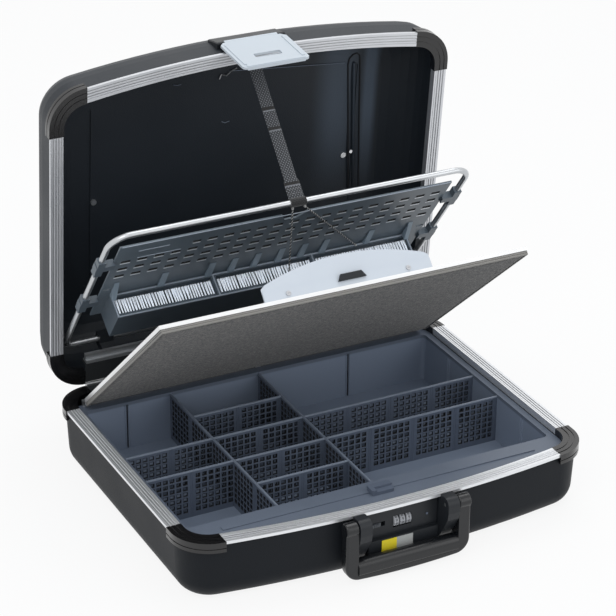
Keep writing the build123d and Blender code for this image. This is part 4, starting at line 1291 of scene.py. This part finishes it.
# Sub-assemblies
@dataclass
class Brushes:
    """Three brushes in the pallet's shelf, with dense tufts across their wells."""

    pallet: TiltedFrame
    finishes: Finishes
    tufts: int = 35
    strands: int = 13
    tuft_radius: float = 0.62 * MM
    strand_radius: float = 0.25 * MM
    jitter: float = 0.13
    length: float = 19.0 * MM
    lean: float = 0.055
    names: Sequence[str] = ("brush_left", "brush_middle", "brush_right")

    def roots(self, node: str) -> tuple[list[Vector], Vector]:
        """Find where the strands of one brush stand.

        Args:
            node: The brush's node.

        Returns:
            Middle points of the strands and the middle of the row.
        """
        low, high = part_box(node)
        middle = (Vector(low) + Vector(high)) / 2
        pitch = (high[0] - low[0]) / (self.tufts + 0.4)
        places = []
        golden = math.pi * (3 - math.sqrt(5))
        for tuft in range(self.tufts):
            x = low[0] + pitch * (tuft + 0.7 + self.jitter * math.sin(7.3 * tuft))
            for strand in range(self.strands):
                ring = self.tuft_radius * math.sqrt((strand + 0.5) / self.strands)
                angle = golden * strand + tuft
                offset = Vector((ring * math.cos(angle), ring * math.sin(angle), 0))
                places.append(Vector((x, 0, 0)) + offset)
        return places, middle

    def build(self, tree: BristleTree) -> None:
        """Build the brushes and put them in place of the plain ones."""
        for seed, node in enumerate(self.names, start=1):
            places, middle = self.roots(node)
            level = self.pallet.matrix().inverted() @ middle
            bm = bmesh.new()
            for place in places:
                spot = self.pallet.point(place.x, level.y + place.y + 0.6 * MM, level.z + self.length / 2)
                bm.verts.new(spot)
            brush = mesh_object(f"{node}_bristles", bm)
            turn = (-self.pallet.rise, 0.0, 0.0)
            tree.apply(brush, {"Length": self.length, "Radius": self.strand_radius,
                               "Spread": self.lean, "Turn": turn, "Seed": seed,
                               "Material": self.finishes.bristle})
            self.add_backing(brush, node, level)
            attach(brush, Body.PALLET.value)
            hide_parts(node)
            LOG.info("%s: %d strands", brush.name, len(places))

    def add_backing(self, brush: bpy.types.Object, node: str, level: Vector) -> None:
        """Join the moulded bar that holds the tufts to a brush.

        Args:
            brush: The brush.
            node: Its node.
            level: The strands' middle in pallet coordinates.
        """
        low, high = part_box(node)
        bar_depth, bar_height = 3.2 * MM, 4 * MM
        middle_x, out = (low[0] + high[0]) / 2, level.z + self.length / 2 - bar_depth / 2
        middle = self.pallet.point(middle_x, level.y, out)
        bm = bmesh.new()
        bm.from_mesh(brush.data)
        before = set(bm.faces)
        matrix = self.pallet.matrix().to_3x3().to_4x4()
        size = Matrix.Diagonal((high[0] - low[0], bar_height, bar_depth, 1))
        made = bmesh.ops.create_cube(bm, size=1.0, matrix=Matrix.Translation(middle) @ matrix @ size)
        edges = {edge for vert in made["verts"] for edge in vert.link_edges}
        bmesh.ops.bevel(bm, geom=list(edges), offset=0.5 * MM, segments=2, affect="EDGES")
        brush.data.materials.append(self.finishes.pallet)
        for face in set(bm.faces) - before:
            face.material_index = len(brush.data.materials) - 1
        bm.to_mesh(brush.data)
        bm.free()


@dataclass
class FoamPad:
    """Foam glued under the panel, with soft rounded edges and a slightly uneven face."""

    panel: TiltedFrame
    finishes: Finishes
    columns: int = 96
    rows: int = 64
    edge: float = 1.6 * MM
    waviness: float = 0.1 * MM
    glued: float = 0.9 * MM
    shown: float = 5.4 * MM
    edging: float = 1.3 * MM

    def build(self) -> None:
        """Build the pad in place of the plain slab."""
        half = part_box("panel_foam")[1][0]
        outer = self.panel_depths()
        start, stop = self.panel_reach()
        bm = bmesh.new()
        grid: dict[tuple[int, int, int], bmesh.types.BMVert] = {}
        for side in (0, 1):
            for i in range(self.columns + 1):
                for j in range(self.rows + 1):
                    x = -half + 2 * half * i / self.columns
                    s = start + (stop - start) * j / self.rows
                    near = min(half - abs(x), s - start, stop - s)
                    drop = self.edge * (1 - min(near / self.edge, 1)) ** 2
                    out = outer[side] - (drop if side else 0)
                    if side:
                        wave = self.waviness * (noise.noise(Vector((x * 30, s * 30, 0))) - 0.3)
                        out += wave * min(near / self.edge, 1)
                    grid[side, i, j] = bm.verts.new(self.panel.point(x, s, out))
        for i in range(self.columns):
            for j in range(self.rows):
                for side in (0, 1):
                    places = ((i, j), (i + 1, j), (i + 1, j + 1), (i, j + 1))
                    ring = [grid[side, *place] for place in places]
                    bm.faces.new(ring if side else list(reversed(ring)))
        self.close_rim(bm, grid)
        bmesh.ops.recalc_face_normals(bm, faces=bm.faces[:])
        pad = mesh_object("foam_pad", bm, self.finishes.foam)
        shade_smooth(pad)
        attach(pad, Body.PANEL.value)
        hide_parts("panel_foam")
        bm = bmesh.new()
        beside, beyond = half - 0.5 * self.edging, stop - 0.5 * self.edging
        corners = ((-beside, start), (-beside, beyond), (beside, beyond), (beside, start))
        for depth in (self.glued + self.edging, self.shown - 0.8 * self.edging):
            rod(bm, [self.panel.point(x, s, depth) for x, s in corners], self.edging, 10)
        bead = mesh_object("foam_edging", bm, self.finishes.bead)
        shade_smooth(bead)
        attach(bead, Body.PANEL.value)
        LOG.info("foam pad: %d faces", len(pad.data.polygons))

    def panel_depths(self) -> tuple[float, float]:
        """Depths of the pad's hidden and shown faces below the panel's plane."""
        return self.glued, self.shown

    def panel_reach(self) -> tuple[float, float]:
        """Reach of the pad's two long edges from the hinge."""
        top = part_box("panel_foam")[1][2] - self.panel.origin.z
        return 9 * MM, (top + self.glued * math.cos(self.panel.rise)) / math.sin(self.panel.rise)

    def close_rim(self, bm: bmesh.types.BMesh,
                  grid: dict[tuple[int, int, int], bmesh.types.BMVert]) -> None:
        """Close the pad's four narrow sides.

        Args:
            bm: The working mesh.
            grid: Its vertices by side, column and row.
        """
        ends = [((i, 0), (i + 1, 0)) for i in range(self.columns)]
        ends += [((i, self.rows), (i + 1, self.rows)) for i in range(self.columns)]
        ends += [((0, j), (0, j + 1)) for j in range(self.rows)]
        ends += [((self.columns, j), (self.columns, j + 1)) for j in range(self.rows)]
        for first, second in ends:
            bm.faces.new([grid[0, *first], grid[0, *second], grid[1, *second], grid[1, *first]])


@dataclass
class Dials:
    """Figures on the three number wheels."""

    finishes: Finishes
    nodes: Sequence[str] = ("code_dial_1", "code_dial_2", "code_dial_3")
    bodies: Sequence[str] = ("dial_1", "dial_2", "dial_3")
    height: float = 3.4 * MM
    raise_by: float = 0.12 * MM

    def figure(self, digit: int) -> bpy.types.Mesh:
        """Make one flat raised figure.

        Args:
            digit: 0 to 9.

        Returns:
            Its mesh, centred, in the plane of x and y.
        """
        curve = bpy.data.curves.new(f"figure {digit}", "FONT")
        curve.body = str(digit)
        curve.size = self.height * 1.35
        curve.extrude = self.raise_by / 2
        curve.align_x, curve.align_y = "CENTER", "CENTER"
        curve.resolution_u = 3
        holder = bpy.data.objects.new("figure", curve)
        bpy.context.scene.collection.objects.link(holder)
        bpy.context.view_layer.update()
        mesh = bpy.data.meshes.new_from_object(holder.evaluated_get(bpy.context.evaluated_depsgraph_get()))
        bpy.data.objects.remove(holder)
        return mesh

    def build(self) -> None:
        """Set ten figures round each wheel."""
        figures = [self.figure(digit) for digit in range(10)]
        for node, body in zip(self.nodes, self.bodies):
            low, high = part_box(node)
            middle = (Vector(low) + Vector(high)) / 2
            radius = (high[1] - low[1]) / 2
            flat = radius * math.cos(math.pi / 10)
            bm = bmesh.new()
            for digit, mesh in enumerate(figures):
                angle = math.tau * digit / 10 + math.tau / 20
                face = Matrix.Rotation(angle, 4, "X") @ Matrix.Translation((0, -flat, 0))
                upright = Matrix.Rotation(math.pi / 2, 4, "X")
                part = mesh.copy()
                part.transform(Matrix.Translation(middle) @ face @ upright)
                bm.from_mesh(part)
                bpy.data.meshes.remove(part)
            figures_piece = mesh_object(f"{node}_figures", bm, self.finishes.ink)
            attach(figures_piece, body)
            LOG.info("figures on %s", node)


@dataclass
class Strap:
    """Elastic webbing from the lid's front edge to a sewn sleeve round the pallet's wire."""

    finishes: Finishes
    wire_radius: float = 3.2 * MM
    half_width: float = 7.0 * MM
    sleeve_half: float = 8.6 * MM
    thick: float = 1.5 * MM
    steps: int = 60
    seam_places: Sequence[float] = (13 * MM, 74 * MM, 96 * MM)

    def ends(self) -> tuple[Vector, Vector]:
        """Find the wire under the sleeve and the strap's end in the lid.

        Returns:
            Centre of the wire and the anchor end.
        """
        low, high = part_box("pallet_wire")
        bar = Vector((0, low[1] + self.wire_radius, high[2] - self.wire_radius))
        _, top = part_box("strap")
        return bar, Vector((0, top[1] - 0.6 * MM, top[2] - 0.6 * MM))

    def profile(self, bar: Vector, anchor: Vector) -> list[tuple[Vector, float, float]]:
        """Centre line of the band with its half width and thickness.

        Args:
            bar: Centre of the wire.
            anchor: The end in the lid.

        Returns:
            Point, half width and thickness at each step.
        """
        way = (anchor - bar).normalized()
        start = bar + way * (self.wire_radius + self.thick)
        length = (anchor - start).length
        line = []
        for step in range(self.steps + 1):
            t = step / self.steps
            slack = -0.9 * MM * math.sin(math.pi * t)
            point = start + way * (length * t) + Vector((0, slack, slack * 0.4))
            sewn = 0.12
            wide = self.sleeve_half if t < sewn else self.half_width
            thick = self.thick * (1.8 if t < sewn else 1.35 if t < 0.6 else 1.0)
            line.append((point, wide, thick))
        return line

    def band(self, line: Sequence[tuple[Vector, float, float]]) -> bmesh.types.BMesh:
        """Build the band with its UV map.

        Args:
            line: The centre line from profile.

        Returns:
            The working mesh.
        """
        bm = bmesh.new()
        uv = bm.loops.layers.uv.new("band")
        across = 8
        rings = []
        way = (line[-1][0] - line[0][0]).normalized()
        face = way.cross(Vector((1, 0, 0))).normalized()
        travelled = 0.0
        for index, (point, wide, thick) in enumerate(line):
            if index:
                travelled += (point - line[index - 1][0]).length
            ring = []
            for side in (1, -1):
                columns = range(across + 1) if side > 0 else range(across, -1, -1)
                for column in columns:
                    x = wide * (2 * column / across - 1)
                    soft = math.sqrt(max(1 - (x / wide) ** 6, 0.12))
                    vert = bm.verts.new(point + Vector((x, 0, 0)) + face * (side * thick / 2 * soft))
                    ring.append((vert, x, travelled))
            rings.append(ring)
        count = len(rings[0])
        for first, second in zip(rings, rings[1:]):
            for k in range(count):
                four = [first[k], first[(k + 1) % count], second[(k + 1) % count], second[k]]
                made = bm.faces.new([corner[0] for corner in four])
                for loop, corner in zip(made.loops, four):
                    loop[uv].uv = (corner[1], corner[2])
        for ring in (rings[0], rings[-1]):
            bm.faces.new([corner[0] for corner in ring])
        bmesh.ops.recalc_face_normals(bm, faces=bm.faces[:])
        return bm

    def sleeve(self, bar: Vector) -> bmesh.types.BMesh:
        """Build the loop of webbing round the wire.

        Args:
            bar: Centre of the wire.

        Returns:
            The working mesh.
        """
        bm = bmesh.new()
        uv = bm.loops.layers.uv.new("band")
        around, across = 32, 8
        radii = (self.wire_radius + 0.05 * MM, self.wire_radius + self.thick)
        rings = []
        for turn in range(around):
            angle = math.tau * turn / around
            way = Vector((0, math.cos(angle), math.sin(angle)))
            ring = []
            for radius, columns in ((radii[1], range(across + 1)), (radii[0], range(across, -1, -1))):
                for column in columns:
                    x = self.sleeve_half * (2 * column / across - 1)
                    vert = bm.verts.new(bar + way * radius + Vector((x, 0, 0)))
                    ring.append((vert, x, angle * radii[1]))
            rings.append(ring)
        count = len(rings[0])
        for turn in range(around):
            first, second = rings[turn], rings[(turn + 1) % around]
            for k in range(count):
                four = [first[k], first[(k + 1) % count], second[(k + 1) % count], second[k]]
                made = bm.faces.new([corner[0] for corner in four])
                for loop, corner in zip(made.loops, four):
                    loop[uv].uv = (corner[1], corner[2])
        bmesh.ops.recalc_face_normals(bm, faces=bm.faces[:])
        return bm

    def seam(self, bar: Vector, anchor: Vector, places: Sequence[float]) -> bmesh.types.BMesh:
        """Lay lines across the band for its cross seams.

        Args:
            bar: Centre of the wire.
            anchor: The end in the lid.
            places: Distances of the seams from the wire.

        Returns:
            A mesh of loose edges, on both faces of the band.
        """
        bm = bmesh.new()
        way = (anchor - bar).normalized()
        face = way.cross(Vector((1, 0, 0))).normalized()
        half = self.half_width - 1.2 * MM
        for place in places:
            for side in (-1, 1):
                lift = face * (side * self.thick * 0.95)
                ends = [bm.verts.new(bar + way * place + lift + Vector((x, 0, 0))) for x in (-half, half)]
                bm.edges.new(ends)
        return bm

    def build(self, tree: StitchTree) -> None:
        """Build the band, the sleeve and the seam stitches."""
        bar, anchor = self.ends()
        band = mesh_object("strap_band", self.band(self.profile(bar, anchor)), self.finishes.webbing)
        shade_smooth(band, math.radians(60))
        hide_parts("strap")
        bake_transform(band)
        sleeve = mesh_object("strap_sleeve", self.sleeve(bar), self.finishes.sleeve)
        shade_smooth(sleeve, math.radians(60))
        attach(sleeve, Body.PALLET.value)
        seams = mesh_object("strap_seams", self.seam(bar, anchor, (9 * MM, 14 * MM)))
        tree.apply(seams, {"Pitch": 2.2 * MM, "Share": 0.7, "Radius": 0.28 * MM,
                           "Material": self.finishes.stitch})
        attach(seams, Body.PALLET.value)
        LOG.info("strap: %.0f mm long", (anchor - bar).length / MM)


@dataclass
class TieCords:
    """Two laid cords, each of a pale and a dark yarn, from the strap's sleeve to the shelf."""

    pallet: TiltedFrame
    finishes: Finishes
    lay: float = 5.5 * MM
    offset: float = 0.42 * MM
    yarn: float = 0.5 * MM
    turns: int = 10
    knot: float = 1.3 * MM
    top: float = 228.4 * MM
    foot: float = 109.0 * MM
    out: float = 3.4 * MM
    places: Sequence[Sequence[float]] = ((-5 * MM, 17.5 * MM, 28 * MM), (9 * MM, 108 * MM, 3.4 * MM))

    def helix(self, start: Vector, end: Vector, phase: float) -> list[Vector]:
        """Line of one yarn round the cord's middle.

        Args:
            start: The cord's upper end.
            end: Its lower end.
            phase: Turn of the yarn round the middle, in radians.

        Returns:
            The yarn's points.
        """
        way = (end - start).normalized()
        side = way.orthogonal().normalized()
        over = way.cross(side)
        length = (end - start).length
        count = int(length / self.lay * self.turns)
        line = []
        for step in range(count + 1):
            run = length * step / count
            angle = phase + math.tau * run / self.lay
            around = side * math.cos(angle) + over * math.sin(angle)
            line.append(start + way * run + around * self.offset)
        return line

    def build(self) -> None:
        """Build both cords with a knot at each end."""
        bm = bmesh.new()
        for top_x, foot_x, foot_out in self.places:
            start = self.pallet.point(top_x, self.top, self.out)
            end = self.pallet.point(foot_x, self.foot, foot_out)
            for phase, index in ((0.0, 0), (math.pi, 1)):
                before = set(bm.faces)
                rod(bm, self.helix(start, end, phase), self.yarn, 6)
                for face in set(bm.faces) - before:
                    face.material_index = index
            for place in (start, end):
                for shift in (-0.6, 0.6):
                    middle = place + (end - start).normalized() * shift * self.knot
                    bmesh.ops.create_icosphere(bm, subdivisions=2, radius=self.knot,
                                               matrix=Matrix.Translation(middle))
        cords = mesh_object("laid_tie_cords", bm, self.finishes.pale_yarn, self.finishes.dark_yarn)
        shade_smooth(cords)
        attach(cords, Body.PALLET.value)
        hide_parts("tie_cords")
        LOG.info("tie cords: %d faces", len(cords.data.polygons))


@dataclass
class DividerTrim:
    """Beads at the dividers' cell joints and crossings, and rolled top edges."""

    finishes: Finishes
    cell: float = 51.3 * MM
    sheet: float = 2.0 * MM
    joint_gap: float = 1.2 * MM
    end_gap: float = 1.7 * MM
    bead: float = 0.5 * MM
    roll: float = 1.3 * MM
    pairs: Sequence[str] = ("dividers_left_pair", "dividers_short_pair", "dividers_right_pair")
    long_ones: Sequence[str] = ("divider_long_left", "divider_long_middle")

    def runs(self) -> list[tuple[Vector, Vector]]:
        """Find the dividers' middle lines at their tops.

        Returns:
            Start and end of each divider.
        """
        lines = []
        for node in self.pairs:
            low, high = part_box(node)
            for y in (low[1] + self.sheet / 2, high[1] - self.sheet / 2):
                lines.append((Vector((low[0], y, high[2])), Vector((high[0], y, high[2]))))
        for node in self.long_ones:
            low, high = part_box(node)
            x = (low[0] + high[0]) / 2
            lines.append((Vector((x, low[1], high[2])), Vector((x, high[1], high[2]))))
        return lines

    def bead_places(self, start: Vector, end: Vector, foot: float) -> list[Vector]:
        """Find where the beads of one divider stand.

        Args:
            start: One end of its top.
            end: The other end.
            foot: Height of its foot.

        Returns:
            Middle points of the beads, on both faces.
        """
        length = (end - start).length
        way = (end - start).normalized()
        face = Vector((-way.y, way.x, 0)) * (self.sheet / 2)
        cells = max(1, round(length / self.cell))
        offsets = [length * k / cells + side * self.joint_gap for k in range(1, cells) for side in (-1, 1)]
        offsets += [edge + k * self.end_gap * inward
                    for edge, inward in ((0, 1), (length, -1)) for k in (1, 2, 3)]
        level = Vector((0, 0, (foot - start.z) / 2))
        return [start + way * run + face * side + level for run in offsets for side in (-1, 1)]

    def build(self, tree: BeadTree) -> None:
        """Build the beads and the rolled edges."""
        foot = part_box(self.long_ones[0])[0][2]
        lines = self.runs()
        places = [place for start, end in lines for place in self.bead_places(start, end, foot)]
        beads = point_cloud("divider_beads", places)
        tree.apply(beads, {"Height": lines[0][0].z - foot - 2 * self.roll, "Radius": self.bead,
                           "Turn": (0.0, 0.0, 0.0), "Material": self.finishes.divider})
        bm = bmesh.new()
        for start, end in lines:
            down = Vector((0, 0, -0.7 * self.roll))
            rod(bm, [start + down, end + down], self.roll, 10)
        edges = mesh_object("divider_top_edges", bm, self.finishes.edging)
        shade_smooth(edges)
        for piece in (beads, edges):
            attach(piece, Body.CASE.value)
        LOG.info("divider trim: %d beads", len(places))


@dataclass
class TrayTrim:
    """Guide ribs on the walls of the tray's pocket."""

    finishes: Finishes
    left: float = -206 * MM
    right: float = 205 * MM
    front: float = -118 * MM
    back: float = 143 * MM
    low: float = 8 * MM
    high: float = 60 * MM
    rib: float = 0.9 * MM
    gap: float = 1.9 * MM
    back_places: Sequence[float] = (-158 * MM, 108 * MM)
    side_places: Sequence[float] = (-66.7 * MM, 87.2 * MM)

    def build(self, tree: BeadTree) -> None:
        """Build the ribs in pairs."""
        level = (self.low + self.high) / 2
        places = []
        for side in (-1, 1):
            shift = side * self.gap
            places += [Vector((x + shift, self.back, level)) for x in self.back_places]
            places += [Vector((x + shift, self.front, level)) for x in self.back_places]
            places += [Vector((x, y + shift, level))
                       for x in (self.left, self.right) for y in self.side_places]
        ribs = point_cloud("tray_guide_ribs", places)
        tree.apply(ribs, {"Height": self.high - self.low, "Radius": self.rib, "Turn": (0.0, 0.0, 0.0),
                          "Material": self.finishes.tray})
        # Painted shade: a dark rod stands in the gap between each pair of back ribs.
        middles = [Vector((x, self.back, level)) for x in self.back_places]
        joints = point_cloud("tray_rib_shade", middles)
        tree.apply(joints, {"Height": self.high - self.low, "Radius": 0.8 * self.rib,
                            "Turn": (0.0, 0.0, 0.0), "Material": self.finishes.ink})
        for piece in (ribs, joints):
            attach(piece, Body.CASE.value)
        LOG.info("tray trim: %d ribs", len(places))


@dataclass
class PlateTrim:
    """Low frame for a label at the tool plate's upper left."""

    pallet: TiltedFrame
    finishes: Finishes
    out: float = 1.1 * MM
    radius: float = 0.5 * MM
    lines: Sequence[Sequence[float]] = (
        (-167 * MM, -133 * MM, 197 * MM), (-165 * MM, -117 * MM, 182.5 * MM))

    def build(self) -> None:
        """Build the raised lines."""
        bm = bmesh.new()
        low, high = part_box("tool_plate")
        top = (high[2] - self.pallet.origin.z) / math.sin(self.pallet.rise)
        for left, right, reach in (*self.lines, (low[0] + 2 * MM, high[0] - 2 * MM, top - 0.6 * MM)):
            rod(bm, [self.pallet.point(x, reach, self.out) for x in (left, right)], self.radius)
        frame = mesh_object("label_frame", bm, self.finishes.shelf_edge)
        shade_smooth(frame)
        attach(frame, Body.PALLET.value)
        LOG.info("plate trim: %d lines", len(self.lines))


@dataclass
class ShelfTrim:
    """Rolled edges round the three wells of the brush shelf."""

    pallet: TiltedFrame
    finishes: Finishes
    middle: float = -3.5 * MM
    half: float = 174.5 * MM
    wells: int = 3
    reach: float = 108 * MM
    outs: Sequence[float] = (2.9 * MM, 28 * MM)
    radius: float = 0.9 * MM
    inward: float = 1.3 * MM

    def build(self) -> None:
        """Build the long rails and the cross rails."""
        bm = bmesh.new()
        left, right = self.middle - self.half, self.middle + self.half
        lines = [((left, out), (right, out)) for out in self.outs]
        places = [left + (right - left) * k / self.wells for k in range(self.wells + 1)]
        places[0] += self.inward
        places[-1] -= self.inward
        lines += [((x, self.outs[0]), (x, self.outs[1])) for x in places]
        for ends in lines:
            rod(bm, [self.pallet.point(x, self.reach, out) for x, out in ends], self.radius)
        rails = mesh_object("shelf_rolled_edges", bm, self.finishes.shelf_edge)
        shade_smooth(rails)
        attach(rails, Body.PALLET.value)
        LOG.info("shelf trim: %d rails", len(lines))


@dataclass
class LockTrim:
    """Bar behind the flap's window and the pin of the change button on the lock body."""

    finishes: Finishes
    lid: Matrix
    bar: Sequence[Vector] = (Vector((-15.4, -184.3, 47.9)), Vector((15.4, -184.3, 49.6)))
    bar_radius: float = 0.5 * MM
    pin: Vector = field(default_factory=lambda: Vector((28.1, -176.2, 49)) * MM)

    def build(self, tree: BeadTree) -> None:
        """Build the bar and the pin."""
        bm = bmesh.new()
        rod(bm, [self.lid @ (point * MM) for point in self.bar], self.bar_radius)
        bar = mesh_object("window_bar", bm, self.finishes.enamel)
        shade_smooth(bar)
        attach(bar, Body.FLAP.value)
        pin = point_cloud("change_button", [self.pin])
        tree.apply(pin, {"Height": 1.2 * MM, "Radius": 1.3 * MM, "Turn": (math.pi / 2, 0.0, 0.0),
                         "Material": self.finishes.divider})
        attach(pin, Body.CASE.value)
        LOG.info("lock trim: window bar and change button")


@dataclass
class LidTrim:
    """Raised channel with a dark rod of painted shade along its edge, wire hook, and small pale marks
    painted as glints on the inside of the lid.
    """

    finishes: Finishes
    lid: Matrix
    wall: float = 145.6
    channel: Sequence[Sequence[float]] = (
        (159.5, 54), (153.2, -35), (148.3, -104), (149.6, -111), (153.5, -115), (158.6, -116.3),
        (162, -113), (163, -106), (167.1, -33), (172.4, 56))
    ridge: Sequence[Sequence[float]] = ((165.5, 54), (159.8, -35), (155.4, -106))
    hook: Sequence[Sequence[float]] = ((-7, -114), (-5, -119), (1, -117), (6, -121), (13, -124))
    marks: Sequence[Sequence[Sequence[float]]] = (
        ((-2, -62), (2, -60), (7, -61)), ((-60, -116), (-55.7, -114.6), (-51, -115)),
        ((4, -121), (144, -107)))
    screw: Sequence[float] = (158.5, 4)

    def line(self, places: Sequence[Sequence[float]], lift: float = 0.0) -> list[Vector]:
        """Carry places on the closed lid's inner face to the open lid.

        Args:
            places: Places in millimetres of the closed lid.
            lift: Height off the face, in millimetres.

        Returns:
            The points.
        """
        return [self.lid @ (Vector((x, y, self.wall - lift)) * MM) for x, y in places]

    def build(self, tree: BeadTree) -> None:
        """Build the lines and the screw."""
        groove, ridge, wire = self.finishes.ink, self.finishes.lid_shell, self.finishes.steel
        # The dark rod along the channel is painted shade; the pale marks are painted glints.
        pieces = (("lid_channel_shade", [(self.channel, 0.0)], groove, 0.75),
                  ("lid_channel_ridge", [(self.ridge, 0.0)], ridge, 1.6),
                  ("strap_hook", [(self.hook, 1.2)], wire, 0.7),
                  ("lid_glint_marks", [(mark, 0.0) for mark in self.marks], self.finishes.tray, 0.45))
        for name, lines, material, radius in pieces:
            bm = bmesh.new()
            for places, lift in lines:
                rod(bm, self.line(places, lift), radius * MM)
            piece = mesh_object(name, bm, material)
            shade_smooth(piece)
            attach(piece, Body.LID.value)
        pin = point_cloud("lid_channel_pin", self.line((self.screw,), 0.8))
        tree.apply(pin, {"Height": 1.6 * MM, "Radius": 2.0 * MM, "Turn": (math.pi / 2, 0.0, 0.0),
                         "Material": self.finishes.rivet})
        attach(pin, Body.LID.value)
        LOG.info("lid trim: %d pieces", len(pieces) + 1)


@dataclass
class HingeScrews:
    """Screws that hold both leaves of the case hinge."""

    finishes: Finishes
    lid: Matrix
    opened: float
    count: int = 9
    span: float = 340 * MM
    radius: float = 2.2 * MM
    face: float = 182.3 * MM
    levels: Sequence[float] = (61 * MM, 81 * MM)

    def build(self, tree: ScrewTree) -> None:
        """Build one row on each leaf."""
        across = [self.span * (k / (self.count - 1) - 0.5) for k in range(self.count)]
        rows = ((Body.CASE, "base", Matrix.Identity(4), 0.0), (Body.LID, "lid", self.lid, self.opened))
        for (body, half, place, turned), level in zip(rows, self.levels):
            spots = [place @ Vector((x, self.face, level)) for x in across]
            screws = point_cloud(f"{half}_hinge_screws", spots)
            tree.apply(screws, {"Radius": self.radius, "Turn": (-math.pi / 2 - turned, 0.0, 0.0),
                                "Material": self.finishes.screw})
            shade_smooth(screws)
            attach(screws, body.value)
            LOG.info("%s: %d screws", screws.name, self.count)


def main() -> None:
    """Build the case's pieces in order."""
    logging.basicConfig(level=logging.INFO, format="%(name)s: %(message)s")
    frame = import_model()
    nodes, joints = frame["nodes"], frame["joints"]
    Studio().build()
    wire_low, wire_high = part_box("pallet_wire")
    pivot = joint_place(joints, "pallet_hinge")
    radius = Strap.wire_radius
    pallet = TiltedFrame(pivot, math.atan2(wire_high[2] - radius - pivot.z, pivot.y - wire_low[1] - radius))
    panel = TiltedFrame(joint_place(joints, "panel_hinge"), joint_travel(joints, "panel_hinge"))
    hinge, opened = joint_place(joints, "lid_hinge"), joint_travel(joints, "lid_hinge")
    lid = Matrix.Translation(hinge) @ Matrix.Rotation(-opened, 4, "X") @ Matrix.Translation(-hinge)
    finishes = Finishes(hinge, opened, pallet)
    dress_nodes(nodes, finishes)
    LOG.info("pallet rises %.1f degrees, panel %.1f", math.degrees(pallet.rise), math.degrees(panel.rise))
    Brushes(pallet, finishes).build(BristleTree())
    TieCords(pallet, finishes).build()
    PlateTrim(pallet, finishes).build()
    ShelfTrim(pallet, finishes).build()
    FoamPad(panel, finishes).build()
    beads = BeadTree()
    DividerTrim(finishes).build(beads)
    TrayTrim(finishes).build(beads)
    LockTrim(finishes, lid).build(beads)
    LidTrim(finishes, lid).build(beads)
    Dials(finishes).build()
    HingeScrews(finishes, lid, opened).build(ScrewTree())
    Strap(finishes).build(StitchTree())


if __name__ == "__main__":
    main()
